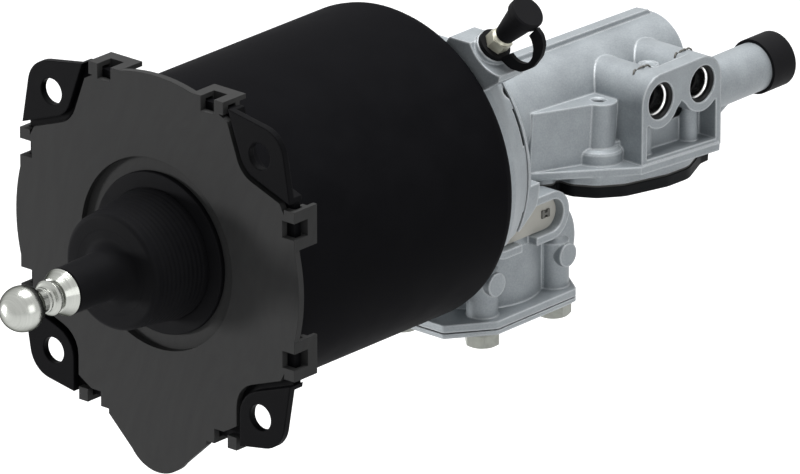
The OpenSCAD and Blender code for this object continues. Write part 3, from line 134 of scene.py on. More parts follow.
@dataclass(frozen=True)
class Finish:
    """A surface finish: its colours, gloss and the marks left by how it was made.

    Attributes:
        name: The material, and how its surface was made.
        colour: Colour of its darker patches.
        light: Colour of its lighter patches.
        roughness: Roughness in the middle of its range.
        metallic: Share of its look that is bare metal's.
        specular: Level of the gloss.
        edge_mm: Radius of the rounded edges.
        rim: Tint of the gloss towards the rim, seen from any side.
        smoother: How much smoother the darker patches are.
        rougher: How much rougher the lighter patches are.
        cloud_mm: Size of the patches.
        cloud_detail: Number of finer octaves in the patches.
        grain_mm: Size of the fine marks.
        grain_detail: Number of finer octaves in the fine marks.
        depth_mm: Depth of the fine marks.
        relief: Share of that depth that is shown.
    """

    name: str
    colour: str
    light: str
    roughness: float = 0.5
    metallic: float = 0.0
    specular: float = 0.5
    edge_mm: float = 0.3
    rim: str = "#ffffff"
    smoother: float = 0.05
    rougher: float = 0.05
    cloud_mm: float = 12.0
    cloud_detail: float = 3.0
    grain_mm: float = 0.5
    grain_detail: float = 1.0
    depth_mm: float = 0.02
    relief: float = 0.3

    def material(self) -> bpy.types.Material:
        """Makes the finish's material, or returns the one that was made before.

        Returns:
            Node material named after the finish.
        """
        made = bpy.data.materials.get(self.name)
        if made is not None:
            return made
        material = bpy.data.materials.new(self.name)
        material.use_nodes = True
        tree = material.node_tree
        tree.nodes.clear()
        shader = add(tree, "ShaderNodeBsdfPrincipled", {
            "Base Color": linear(self.colour), "Metallic": self.metallic,
            "Roughness": self.roughness, "Specular IOR Level": self.specular,
            "Specular Tint": linear(self.rim)})
        add(tree, "ShaderNodeOutputMaterial", {}, {"Surface": shader.outputs["BSDF"]})
        place = add(tree, "ShaderNodeTexCoord").outputs["Object"]
        self.marks(tree, shader, place)
        return material

    def edge(self, tree: bpy.types.NodeTree) -> bpy.types.NodeSocket:
        """Rounds the edges that catch the light by the finish's edge radius.

        Args:
            tree: Node tree.

        Returns:
            Normal output.
        """
        bevel = add(tree, "ShaderNodeBevel", {"samples": EDGE_RAYS, "Radius": self.edge_mm * MM})
        return bevel.outputs["Normal"]

    def noise(
        self, tree: bpy.types.NodeTree, place: bpy.types.NodeSocket, size_mm: float, detail: float,
        stretch: tuple[float, float, float] = Run.ANY.value, lean: float = 0.0,
    ) -> bpy.types.NodeSocket:
        """Adds a noise whose features have a real size.

        Args:
            tree: Node tree.
            place: Coordinates in metres.
            size_mm: Size of a feature in millimetres.
            detail: Number of finer octaves.
            stretch: Factors on the three coordinates; a small one draws the features out along it.
            lean: Turn of the coordinates about X, in degrees, before they are stretched.

        Returns:
            Value output.
        """
        turned = add(tree, "ShaderNodeMapping", {
            "Rotation": (math.radians(lean), 0.0, 0.0)}, {"Vector": place}).outputs["Vector"]
        drawn = add(tree, "ShaderNodeMapping", {"Scale": stretch}, {"Vector": turned}).outputs["Vector"]
        return add(tree, "ShaderNodeTexNoise", {
            "Scale": 1 / (size_mm * MM), "Detail": detail, "Roughness": OCTAVE_SHARE,
        }, {"Vector": drawn}).outputs["Fac"]

    def vary(self, tree: bpy.types.NodeTree, shader: bpy.types.Node, value: bpy.types.NodeSocket) -> None:
        """Lets a noise vary the colour and the roughness.

        Args:
            tree: Node tree.
            shader: Principled shader.
            value: Noise from 0 to 1.
        """
        shade = add(tree, "ShaderNodeValToRGB", {}, {"Fac": value})
        stops = ((NOISE_LOW, self.colour), (NOISE_HIGH, self.light))
        for element, (stop, colour) in zip(shade.color_ramp.elements, stops):
            element.position = stop
            element.color = linear(colour)
        tree.links.new(shade.outputs["Color"], shader.inputs["Base Color"])
        spread = add(tree, "ShaderNodeMapRange", {
            "From Min": NOISE_LOW, "From Max": NOISE_HIGH,
            "To Min": self.roughness - self.smoother, "To Max": self.roughness + self.rougher,
        }, {"Value": value})
        tree.links.new(spread.outputs["Result"], shader.inputs["Roughness"])

    def bump(
        self, tree: bpy.types.NodeTree, shader: bpy.types.Node, height: bpy.types.NodeSocket,
        rounded: bpy.types.NodeSocket | None = None,
    ) -> None:
        """Adds the fine marks' relief over the rounded edges.

        Args:
            tree: Node tree.
            shader: Principled shader.
            height: Relief from 0 to 1.
            rounded: Normal of the rounded edges; made here if left out.
        """
        node = add(tree, "ShaderNodeBump", {"Strength": self.relief, "Distance": self.depth_mm * MM},
                   {"Height": height, "Normal": rounded or self.edge(tree)})
        tree.links.new(node.outputs["Normal"], shader.inputs["Normal"])

    def marks(self, tree: bpy.types.NodeTree, shader: bpy.types.Node, place: bpy.types.NodeSocket) -> None:
        """Draws the patches of colour and the fine marks over them.

        Args:
            tree: Node tree.
            shader: Principled shader.
            place: Coordinates in metres.
        """
        self.vary(tree, shader, self.noise(tree, place, self.cloud_mm, self.cloud_detail))
        self.bump(tree, shader, self.noise(tree, place, self.grain_mm, self.grain_detail))


@dataclass(frozen=True)
class DipCoat(Finish):
    """Black coat on pressed steel: satin, with a dipped film's waviness, 1.5 mm from crest to crest."""

    rougher: float = 0.06
    cloud_mm: float = 18.0
    grain_mm: float = 1.5
    relief: float = 0.35


@dataclass(frozen=True)
class MouldedPlastic(Finish):
    """Injection-moulded plastic: a slow change of shade under the mould's eroded grain, 0.5 mm across."""

    smoother: float = 0.04
    cloud_detail: float = 2.0


@dataclass(frozen=True)
class MouldedRubber(Finish):
    """Moulded rubber: matt, with its bloom in patches of 9 mm and a fine skin of 0.7 mm."""

    cloud_mm: float = 9.0
    grain_mm: float = 0.7
    grain_detail: float = 2.0
    relief: float = 0.35


@dataclass(frozen=True)
class ZincCoat(Finish):
    """Passivated zinc on steel: cloudy crystals in patches of 3 mm with a fine grain of 0.4 mm."""

    rougher: float = 0.08
    cloud_mm: float = 3.0
    grain_mm: float = 0.4
    depth_mm: float = 0.01


@dataclass(frozen=True)
class FlowPlastic(Finish):
    """Glass-filled moulded plastic: matt, with the steep streaks that the melt left while it flowed.

    Attributes:
        bend_mm: Distance over which the streaks bend.
        swing: How far they swing, in metres.
        streak_mm: Width of a streak.
        drawn: Factor along Z, which draws the streaks out to some centimetres.
        lean: Lean of the streaks in degrees.
    """

    smoother: float = 0.0
    rougher: float = 0.08
    bend_mm: float = 45.0
    swing: float = 0.03
    streak_mm: float = 4.5
    drawn: float = 0.16
    lean: float = 17.0

    def marks(self, tree: bpy.types.NodeTree, shader: bpy.types.Node, place: bpy.types.NodeSocket) -> None:
        """Draws the leaning streaks and the mould's grain.

        Args:
            tree: Node tree.
            shader: Principled shader.
            place: Coordinates in metres.
        """
        bend = self.noise(tree, place, self.bend_mm, 0.0)
        shift = add(tree, "ShaderNodeVectorMath", {"operation": "SCALE", "Scale": self.swing}, {0: bend})
        bent = add(tree, "ShaderNodeVectorMath", {"operation": "ADD"}, {
            0: place, 1: shift.outputs["Vector"]}).outputs["Vector"]
        stretch = (1.0, 1.0, self.drawn)
        streaks = self.noise(tree, bent, self.streak_mm, self.cloud_detail, stretch, self.lean)
        self.vary(tree, shader, streaks)
        self.bump(tree, shader, self.noise(tree, place, self.grain_mm, self.grain_detail))


@dataclass(frozen=True)
class DieCast(Finish):
    """Shot-blasted aluminium die casting: a fine bright grain over a slow mottle, with edges lightened in colour,
    partly rubbed metal and partly a painted highlight.

    Attributes:
        grain_share: Share of the grain in the change of colour; the rest is the mottle.
        bare: Colour painted on the edges, both the metal that blasting and handling rub bright and a painted
            highlight.
        worn: Share of that colour on a full edge.
        wear_starts: Cosine of the bend at which an edge starts to brighten.
        wear_full: Cosine of the bend at which it is brightest.
    """

    smoother: float = 0.06
    rougher: float = 0.08
    cloud_mm: float = 14.0
    grain_mm: float = 0.7
    grain_detail: float = 2.0
    depth_mm: float = 0.07
    relief: float = 0.5
    grain_share: float = 0.45
    # Edge colour: partly rubbed metal, partly a painted highlight.
    bare: str = "#dde1e4"
    worn: float = 0.85
    wear_starts: float = 0.985
    wear_full: float = 0.9

    def marks(self, tree: bpy.types.NodeTree, shader: bpy.types.Node, place: bpy.types.NodeSocket) -> None:
        """Draws the blasted grain, coarser than its real 0.3 mm so that it shows in the render.

        Args:
            tree: Node tree.
            shader: Principled shader.
            place: Coordinates in metres.
        """
        mottle = self.noise(tree, place, self.cloud_mm, self.cloud_detail)
        grain = self.noise(tree, place, self.grain_mm, self.grain_detail)
        both = add(tree, "ShaderNodeMix", {"Factor": self.grain_share}, {"A": mottle, "B": grain})
        self.vary(tree, shader, both.outputs["Result"])
        rounded = self.edge(tree)
        self.brighten_edges(tree, shader, rounded)
        self.bump(tree, shader, grain, rounded)

    def brighten_edges(
        self, tree: bpy.types.NodeTree, shader: bpy.types.Node, rounded: bpy.types.NodeSocket
    ) -> None:
        """Lightens the edges in the colour: partly the metal that blasting and handling rub bright, partly a
        painted highlight.

        Args:
            tree: Node tree.
            shader: Principled shader with its colour linked.
            rounded: Normal of the rounded edges.
        """
        flat = add(tree, "ShaderNodeNewGeometry").outputs["Normal"]
        bend = add(tree, "ShaderNodeVectorMath", {"operation": "DOT_PRODUCT"}, {0: rounded, 1: flat})
        share = add(tree, "ShaderNodeMapRange", {
            "From Min": self.wear_starts, "From Max": self.wear_full, "To Min": 0.0, "To Max": self.worn,
        }, {"Value": bend.outputs["Value"]})
        # Painted highlight along the edges, mixed into the colour together with the metal rubbed bare there.
        colour = shader.inputs["Base Color"].links[0].from_socket
        mixed = add(tree, "ShaderNodeMixRGB", {"Color2": linear(self.bare)}, {
            "Fac": share.outputs["Result"], "Color1": colour})
        tree.links.new(mixed.outputs["Color"], shader.inputs["Base Color"])


@dataclass(frozen=True)
class CutMetal(Finish):
    """Machined, ground or drawn metal: fine rings or lines left by the tool.

    Attributes:
        run: Run of the tool's marks.
    """

    smoother: float = 0.03
    depth_mm: float = 0.01
    relief: float = 0.25
    run: Run = Run.AROUND_X

    def marks(self, tree: bpy.types.NodeTree, shader: bpy.types.Node, place: bpy.types.NodeSocket) -> None:
        """Draws the tool's marks, coarser than real feed marks so that they show.

        Args:
            tree: Node tree.
            shader: Principled shader.
            place: Coordinates in metres.
        """
        lines = self.noise(tree, place, self.grain_mm, self.grain_detail, self.run.value)
        self.vary(tree, shader, lines)
        self.bump(tree, shader, lines)


@dataclass(frozen=True)
class Felt(Finish):
    """Sintered felt: rough fibres 0.6 mm across with pores between them."""

    grain_mm: float = 0.6
    grain_detail: float = 4.0
    depth_mm: float = 0.2
    relief: float = 0.8

    def marks(self, tree: bpy.types.NodeTree, shader: bpy.types.Node, place: bpy.types.NodeSocket) -> None:
        """Draws the fibres and the pores between them.

        Args:
            tree: Node tree.
            shader: Principled shader.
            place: Coordinates in metres.
        """
        fibres = self.noise(tree, place, self.grain_mm, self.grain_detail)
        self.vary(tree, shader, fibres)
        self.bump(tree, shader, fibres)


@dataclass(frozen=True)
class Finishes:
    """Every finish of the actuator, by the record's material slots."""

    # Dipped black coat: a deep even black with hardly any sheen.
    can_black: Finish = DipCoat("dip_coated_steel_can", "#111113", "#151517", 0.62,
                                specular=0.008, edge_mm=0.8)
    # The same dip over the thick flange: blacker still, its pressed edges catch a thin line of light.
    flange_black: Finish = DipCoat("dip_coated_steel_flange", "#0a0a0c", "#0d0d0f", 0.5,
                                   specular=0.03, edge_mm=0.9)
    # Glass-filled polyamide: a dry dark grey with steep paler flow streaks.
    cover_grey: Finish = FlowPlastic("moulded_polyamide_cover", "#353535", "#3c3c3c", 0.66, specular=0.1)
    # Moulded rubber: a soft black with hardly any gloss.
    boot_rubber: Finish = MouldedRubber("moulded_rubber_boot", "#0f0f11", "#141416", 0.7, specular=0.06)
    # Polished steel: mirrors the pale surroundings in its middle and darkens towards its rim.
    bright_steel: Finish = CutMetal("polished_steel_rod", "#abada8", "#b5b7b2", 0.22, 1.0, edge_mm=0.15,
                                    relief=0.02, rim="#30302e")
    # Acetal: a waxy ivory.
    pale_plastic: Finish = MouldedPlastic("moulded_acetal_guide", "#c9c4b0", "#d4cfbd", 0.45)
    # Drawn and oiled wire: a dull dark grey with soft highlights.
    spring_steel: Finish = CutMetal("drawn_spring_wire", "#6d7275", "#868b8e", 0.38, 1.0, run=Run.ANY)
    # Turned aluminium: silver with fine rings.
    piston_alloy: Finish = CutMetal("turned_aluminium_piston", "#a9aeb2", "#b9bec1", 0.34, 0.9)
    # Nitrile rubber: a smooth black with a slight shine of grease.
    seal_rubber: Finish = MouldedRubber("moulded_rubber_seal", "#1a1b1d", "#232527", 0.55, specular=0.25)
    # Ground steel: bright and close to a mirror.
    plunger_steel: Finish = CutMetal("ground_steel_plunger", "#b9bdc0", "#c8ccce", 0.2, 1.0, grain_mm=0.3)
    # Blasted casting: a pale sparkling grey, with edges lightened in colour as rubbed metal and as a painted
    # highlight.
    cast_alloy: Finish = DieCast("blasted_aluminium_casting", "#868c90", "#a3a9ad", 0.5, 0.3, edge_mm=1.3)
    # Turned bronze: warm yellow brown with fine rings.
    bush_bronze: Finish = CutMetal("turned_bronze_bush", "#a98850", "#bd9b63", 0.3, 1.0)
    # Bright zinc: a bluish silver with a cloudy shimmer.
    screw_steel: Finish = ZincCoat("zinc_plated_screw", "#a3a7aa", "#b6babc", 0.36, 0.8)
    # Moulded grip sleeve: a black with a low satin shine.
    sleeve_black: Finish = MouldedPlastic("moulded_port_sleeve", "#0f0f10", "#151516", 0.42, specular=0.2)
    # Freshly turned steel: the brightest metal of the part, a white ring in a black mouth.
    ring_steel: Finish = CutMetal("turned_port_ring", "#e2e3e2", "#ececeb", 0.2, 1.0, grain_mm=0.25)
    # Fibre and rubber sheet: a flat dark grey.
    sheet_grey: Finish = MouldedRubber("fibre_rubber_sheet", "#3a3a38", "#474745", 0.7)
    # Moulded cover: a matt black with a fine grain.
    cover_black: Finish = MouldedPlastic("moulded_valve_cover", "#121314", "#17181a", 0.6, specular=0.06)
    # Rubber cap: matt black.
    cap_black: Finish = MouldedRubber("moulded_rubber_cap", "#121214", "#161618", 0.65, specular=0.08)
    # Sintered felt: rough and porous, a dusty beige.
    filter_felt: Finish = Felt("sintered_felt", "#8a8676", "#a39d88", 0.9)
    # Pale zinc with wear: a dull grey with a trace of yellow.
    zinc_bolt: Finish = ZincCoat("pale_zinc_bolt", "#90928b", "#a2a49d", 0.45, 0.4)
    # Lacquered plate: a warm off-white with a weak gloss.
    type_plate: Finish = MouldedPlastic("lacquered_type_plate", "#c4c2b9", "#cac8c0", 0.55, specular=0.25)
    # Oiled steel: a brownish dark grey.
    pin_steel: Finish = ZincCoat("oiled_steel_pin", "#5c5b57", "#6d6c68", 0.5, 0.5)
    # Yellow zinc: pale straw with a soft metal shine.
    bleed_zinc: Finish = ZincCoat("yellow_zinc_fitting", "#bdbcac", "#cfcdbc", 0.36, 0.5)

    def dress(self) -> None:
        """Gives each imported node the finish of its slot."""
        for row in frame["record"]["subparts"]:
            finish: Finish = getattr(self, row["material_slot"])
            mesh = frame["nodes"][row["node"]].data
            mesh.materials.clear()
            mesh.materials.append(finish.material())
            LOG.info("%s: %s", row["node"], finish.name)


def place_mesh(
    name: str, work: bmesh.types.BMesh, finish: Finish, smooth_degrees: float = 40.0
) -> bpy.types.Object:
    """Turns a worked mesh into an object in the scene.

    Args:
        name: Name of the piece.
        work: Mesh in metres; it is freed.
        finish: Finish of the whole piece.
        smooth_degrees: Edges flatter than this are shaded smooth.

    Returns:
        The new object.
    """
    bmesh.ops.recalc_face_normals(work, faces=work.faces)
    for face in work.faces:
        face.smooth = True
    for edge in work.edges:
        if len(edge.link_faces) == 2 and edge.calc_face_angle() > math.radians(smooth_degrees):
            edge.smooth = False
    mesh = bpy.data.meshes.new(name)
    work.to_mesh(mesh)
    work.free()
    mesh.materials.append(finish.material())
    made = bpy.data.objects.new(name, mesh)
    bpy.context.scene.collection.objects.link(made)
    return made


def lathe(
    profile: Sequence[tuple[float, float]], sides: int, place: Matrix | None = None
) -> bmesh.types.BMesh:
    """Turns a closed profile about the X axis and puts it in its place.

    Args:
        profile: Points as radius and x, in millimetres, in order round the section.
        sides: Number of steps round the axis.
        place: Turn and shift in millimetres; the cylinder's own axis if left out.

    Returns:
        Closed mesh in metres.
    """
    work = bmesh.new()
    turn = place or Matrix.Identity(4)
    rings = []
    for step in range(sides):
        angle = 2 * math.pi * step / sides
        rings.append([
            work.verts.new(turn @ Vector((x, r * math.cos(angle), r * math.sin(angle))) * MM)
            for r, x in profile])
    count = len(profile)
    for step in range(sides):
        here, there = rings[step], rings[(step + 1) % sides]
        for i in range(count):
            j = (i + 1) % count
            work.faces.new((here[i], here[j], there[j], there[i]))
    bmesh.ops.remove_doubles(work, verts=work.verts, dist=WELD)
    return work


def softened(points: Sequence[tuple[float, float, float]]) -> list[tuple[float, float]]:
    """Rounds the corners of a closed profile.

    Args:
        points: Corners as radius, x and rounding, in millimetres.

    Returns:
        Points of the rounded profile.
    """
    out: list[tuple[float, float]] = []
    count = len(points)
    for i in range(count):
        before, here, after = (Vector(points[(i + k) % count][:2]) for k in (-1, 0, 1))
        rounding = points[i][2]
        a, b = (before - here), (after - here)
        if rounding <= 0 or a.length < SHORT or b.length < SHORT:
            out.append((here.x, here.y))
            continue
        half = a.angle(b) / 2
        most = min(a.length, b.length) * ROUND_SHARE
        reach = min(rounding / math.tan(max(half, NARROW)), most)
        start, end = here + a.normalized() * reach, here + b.normalized() * reach
        for k in range(ROUND_STEPS + 1):
            t = k / ROUND_STEPS
            point = start * (1 - t) ** 2 + here * 2 * t * (1 - t) + end * t ** 2
            out.append((point.x, point.y))
    return out


def facing(axis: Axis, x: float, y: float, z: float) -> Matrix:
    """Turns the lathe's axis from X to another axis and shifts it.

    Args:
        axis: Axis on which the piece stands.
        x: Place along X in millimetres.
        y: Place along Y.
        z: Place along Z.

    Returns:
        Turn and shift.
    """
    degrees, about = axis.value
    return Matrix.Translation((x, y, z)) @ Matrix.Rotation(math.radians(degrees), 4, about)


@dataclass
class Boot:
    """Rubber boot: a disc under the cover's hole, a ringed body and a long neck on the rod.

    Attributes:
        floor_x: Underside of the disc.
        base_r: Radius of the disc.
        base_t: Thickness of the disc.
        base_rounds: Roundings of the disc's lower edge, upper edge and the corner at the body.
        body_r: Radius of the body at the disc.
        front_r: Radius of the body at its front.
        front_x: Front face.
        front_round: Rounding of the front edge.
        foot: Plain part of the body between the disc and the rings.
        brow: Plain part of the body between the rings and the front face.
        wall: Thickness of the rubber.
        foot_more: Extra thickness at the disc.
        front_more: Extra thickness at the front.
        foot_inside: Height of the extra thickness at the disc.
        ring_pitch: Distance from ring to ring.
        ring_depth: Depth between the rings.
        ring_steps: Steps in each ring.
        seam_r: Radius at which the neck's piece joins the body's.
        neck_r: Radius of the neck.
        neck_x: Front end of the neck.
        neck_more: Extra radius of the neck at its foot.
        fillet_r: Reach of the fillet at the neck's foot along the front face.
        fillet_x: Its reach along the neck.
        fillet_steps: Steps in that fillet.
        lip: Length of the tight lip, and its extra radius and roundings.
        rod_r: Radius of the rod's hole.
        hole_x: Start of the rod's hole behind the front face.
        hole_more: Extra radius of the hole's mouth inside.
        sides: Steps round the body and round the neck.
    """

    floor_x: float = -3.5
    base_r: float = 33.6
    base_t: float = 2.3
    base_rounds: tuple[float, float, float] = (0.2, 0.7, 1.2)
    body_r: float = 27.0
    front_r: float = 24.3
    front_x: float = 26.5
    front_round: float = 2.3
    foot: float = 2.2
    brow: float = 3.4
    wall: float = 2.2
    foot_more: float = 0.6
    front_more: float = 1.2
    foot_inside: float = 3.0
    ring_pitch: float = 2.2
    ring_depth: float = 0.14
    ring_steps: int = 8
    seam_r: float = 17.5
    neck_r: float = 9.7
    neck_x: float = 54.0
    neck_more: float = 0.35
    fillet_r: float = 4.6
    fillet_x: float = 5.2
    fillet_steps: int = 10
    lip: tuple[float, float, float, float] = (6.0, 0.1, 0.5, 0.2)
    rod_r: float = 8.3
    hole_x: float = 2.0
    hole_more: float = 2.6
    sides: tuple[int, int] = (144, 96)

    def body_profile(self) -> list[tuple[float, float]]:
        """Works out the section of the disc and the ringed body.

        Returns:
            Closed profile in millimetres.
        """
        top = self.floor_x + self.base_t
        start, end = top + self.foot, self.front_x - self.brow
        outside = []
        steps = int((end - start) / self.ring_pitch * self.ring_steps)
        for i in range(steps + 1):
            t = i / steps
            x = start + (end - start) * t
            r = self.body_r + (self.front_r - self.body_r) * t
            wave = 0.5 - 0.5 * math.cos(2 * math.pi * (x - start) / self.ring_pitch)
            outside.append((r - self.ring_depth * wave, x))
        inner = self.body_r - self.wall - self.foot_more
        low, high, corner = self.base_rounds
        base = softened([(inner, self.floor_x, 0.0), (self.base_r, self.floor_x, low),
                         (self.base_r, top, high), (self.body_r + 0.1, top, corner)])
        turn = self.front_round
        front = [(self.front_r - turn + turn * math.cos(a), self.front_x - turn + turn * math.sin(a))
                 for a in (math.radians(d) for d in range(0, 91, 10))]
        inside = self.front_x - self.wall
        return base + outside + front + [
            (self.seam_r, self.front_x), (self.seam_r, inside),
            (self.front_r - self.wall - self.front_more, inside), (inner, top + self.foot_inside)]

    def neck_profile(self) -> list[tuple[float, float]]:
        """Works out the section of the front face's middle and the neck.

        Returns:
            Closed profile in millimetres.
        """
        hollow = []
        for i in range(self.fillet_steps + 1):
            a = math.radians(90 * i / self.fillet_steps)
            hollow.append((self.neck_r + self.neck_more + self.fillet_r * (1 - math.sin(a)),
                           self.front_x + self.fillet_x * (1 - math.cos(a))))
        length, more, outer, inner = self.lip
        lip = softened([(self.neck_r + more, self.neck_x - length, 0.0), (self.neck_r, self.neck_x, outer),
                        (self.rod_r, self.neck_x, inner), (self.rod_r, self.front_x + self.hole_x, 0.0)])
        inside = self.front_x - self.wall
        return [(self.seam_r, inside), (self.seam_r, self.front_x)] + hollow + lip + [
            (self.rod_r + self.hole_more, inside)]

    def build(self, finish: Finish) -> None:
        """Makes both pieces and puts them in place of the imported boot.

        Args:
            finish: Finish of the rubber.
        """
        body = place_mesh("boot_body", lathe(self.body_profile(), self.sides[0]), finish)
        neck = place_mesh("boot_neck", lathe(self.neck_profile(), self.sides[1]), finish)
        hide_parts("boot")
        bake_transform(body)
        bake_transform(neck)
        LOG.info("boot: body with rings, neck with fillet")


@dataclass
class Ports:
    """Linings of the two ports, a bright ring and a dark cup in each, and the wire clips on their bosses.

    Attributes:
        places: Places of the ports along X.
        height: Height of their axis.
        face_y: The ports' face, from which the sections below are measured inwards.
        boss_r: Radius of a boss.
        socket_r: Radius of a socket.
        ring_in_r: Inner radius of the bright ring.
        ring_rear: Rear face of the ring.
        ring_step: Step of the ring, in front of which it is thinner.
        lip_r: Outer radius of the ring's thinner front.
        lip_front: Front edge of the ring.
        lip_slope: How far the ring's mouth slopes back.
        lip_rounds: Roundings of the ring's front edge, of its mouth and of its bore's rear edge.
        cup_front: Front face of the cup.
        cup_rear: Rear face of the cup.
        cup_more: Extra radius and rounding of the cup's mouth.
        cup_inside: Corners of the cup's hollow, as radius, x and rounding.
        clip_y: Place of the clips along Y.
        clip_bow: How far a clip bows forward in its middle.
        clip_half: One half of a clip, as distance from the middle and lift over the boss.
        wire_r: Radius of the clips' wire.
        sides: Steps round a ring and a cup.
    """

    places: tuple[float, float] = (-257.0, -283.0)
    height: float = 2.5
    face_y: float = 44.0
    boss_r: float = 11.7
    socket_r: float = 7.85
    ring_in_r: float = 5.9
    ring_rear: float = -7.7
    ring_step: float = -5.7
    lip_r: float = 6.7
    lip_front: float = -2.9
    lip_slope: float = 0.7
    lip_rounds: tuple[float, float, float] = (0.15, 0.3, 0.2)
    cup_front: float = -7.8
    cup_rear: float = -13.9
    cup_more: float = 0.2
    cup_inside: tuple[tuple[float, float, float], ...] = (
        (5.4, -8.7, 0.5), (6.4, -10.2, 0.8), (6.2, -12.9, 0.6), (3.7, -13.0, 0.2))
    clip_y: float = 33.4
    clip_bow: float = 0.5
    clip_half: tuple[tuple[float, float], ...] = (
        (0.0, 0.75), (0.8, 0.65), (1.5, 0.35), (2.4, -0.4),
        (3.0, 0.05), (3.6, 0.55), (4.9, 0.5), (5.4, -0.4))
    wire_r: float = 0.42
    sides: int = 72

    def ring_profile(self) -> list[tuple[float, float]]:
        """Works out the section of the bright ring.

        Returns:
            Closed profile, its x measured from the ports' face.
        """
        edge, mouth, bore = self.lip_rounds
        return softened([
            (self.socket_r, self.ring_rear, 0.0), (self.socket_r, self.ring_step, 0.0),
            (self.lip_r, self.ring_step, 0.0), (self.lip_r, self.lip_front, edge),
            (self.ring_in_r, self.lip_front - self.lip_slope, mouth),
            (self.ring_in_r, self.ring_rear, bore)])

    def cup_profile(self) -> list[tuple[float, float]]:
        """Works out the section of the seal's cup, with its lip.

        Returns:
            Closed profile, its x measured from the ports' face.
        """
        return softened([
            (self.socket_r, self.cup_front, 0.0),
            (self.ring_in_r + self.cup_more, self.cup_front, self.cup_more), *self.cup_inside,
            (self.cup_inside[-1][0], self.cup_rear, 0.0), (self.socket_r, self.cup_rear, 0.0)])

    def clip(self, name: str, x: float, finish: Finish) -> None:
        """Bends one wire clip over the top of a boss.

        Args:
            name: Name of the piece.
            x: Place of the port along X.
            finish: Finish of the wire.
        """
        shape = [(-across, lift) for across, lift in self.clip_half[:0:-1]] + list(self.clip_half)
        curve = bpy.data.curves.new(name, "CURVE")
        curve.dimensions = "3D"
        curve.bevel_depth = self.wire_r * MM
        curve.bevel_resolution = 3
        spline = curve.splines.new("BEZIER")
        spline.bezier_points.add(len(shape) - 1)
        for point, (across, lift) in zip(spline.bezier_points, shape):
            top = math.sqrt(self.boss_r ** 2 - across ** 2)
            bowed = self.clip_y + self.clip_bow * math.cos(across)
            point.co = Vector((x + across, bowed, self.height + top + lift)) * MM
            point.handle_left_type = point.handle_right_type = "AUTO"
        curve.materials.append(finish.material())
        made = bpy.data.objects.new(name, curve)
        bpy.context.scene.collection.objects.link(made)
        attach(made, "housing")

    def build(self, finishes: Finishes) -> None:
        """Lines both ports and clips a wire over each boss.

        Args:
            finishes: Finishes of the actuator.
        """
        rings = []
        for word, x in zip(("front", "rear"), self.places):
            place = facing(Axis.Y, x, self.face_y, self.height)
            ring = lathe(self.ring_profile(), self.sides, place)
            rings.append(place_mesh("port_ring_" + word, ring, finishes.ring_steel))
            lining = lathe(self.cup_profile(), self.sides, place)
            cup = place_mesh("port_cup_" + word, lining, finishes.sleeve_black)
            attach(cup, "housing")
            self.clip("port_clip_" + word, x, finishes.pin_steel)
        for ring in rings:
            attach(ring, "housing")
        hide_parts("port_rings")
        LOG.info("ports: rings, seal cups and wire clips")


@dataclass
class TypePlate:
    """The bare type plate's two fluted drive pins.

    Attributes:
        places: Places of the pins along X.
        height: Height of the pins.
        face_y: Front face of the plate.
        wide: Width of a pin's head.
        tall: Height of a pin's head.
        flange: Width of the head's two flanges.
        web: Thickness of the web between them.
        stand: How far the head stands out of the plate.
        shank_r: Radius of the shank.
        shank: Depth of the shank in the plate.
        sunk: How far the shank's top stands out, inside the head.
        rise: Gap between the plate and the underside of the head.
        core: Radius of the hole that the lathe leaves on its axis.
        sides: Steps round the shank.
        crisp: Edges flatter than this, in degrees, are shaded smooth.
    """

    places: tuple[float, float] = (-203.1, -174.9)
    height: float = -34.5
    face_y: float = 28.4
    wide: float = 4.6
    tall: float = 3.4
    flange: float = 1.5
    web: float = 1.2
    stand: float = 0.7
    shank_r: float = 1.4
    shank: float = 2.9
    sunk: float = 0.05
    rise: float = 0.02
    core: float = 0.01
    sides: int = 24
    crisp: float = 30.0

    def outline(self) -> list[tuple[float, float]]:
        """Works out the pin's fluted outline.

        Returns:
            Points along X and Z in millimetres.
        """
        w, t, f, b = self.wide / 2, self.tall / 2, self.flange, self.web / 2
        return [(-w, -t), (f - w, -t), (f - w, -b), (w - f, -b), (w - f, -t), (w, -t),
                (w, t), (w - f, t), (w - f, b), (f - w, b), (f - w, t), (-w, t)]

    def build(self, finish: Finish) -> None:
        """Drives both pins into the plate.

        Args:
            finish: Finish of the pins.
        """
        pins = []
        shank = [(self.core, self.sunk), (self.shank_r, self.sunk),
                 (self.shank_r, -self.shank), (self.core, -self.shank)]
        for word, x in zip(("rear", "front"), self.places):
            work = lathe(shank, self.sides, facing(Axis.Y, x, self.face_y, self.height))
            rings = [[work.verts.new(Vector((x + a, y, self.height + b)) * MM) for a, b in self.outline()]
                     for y in (self.face_y + self.rise, self.face_y + self.stand)]
            count = len(rings[0])
            for i in range(count):
                j = (i + 1) % count
                work.faces.new((rings[0][i], rings[0][j], rings[1][j], rings[1][i]))
            work.faces.new(rings[0])
            work.faces.new(rings[1])
            bmesh.ops.triangulate(work, faces=[f for f in work.faces if len(f.verts) > 4])
            pins.append(place_mesh("plate_pin_" + word, work, finish, self.crisp))
        for pin in pins:
            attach(pin, "housing")
        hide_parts("plate_rivets")
        LOG.info("type plate: two fluted pins")


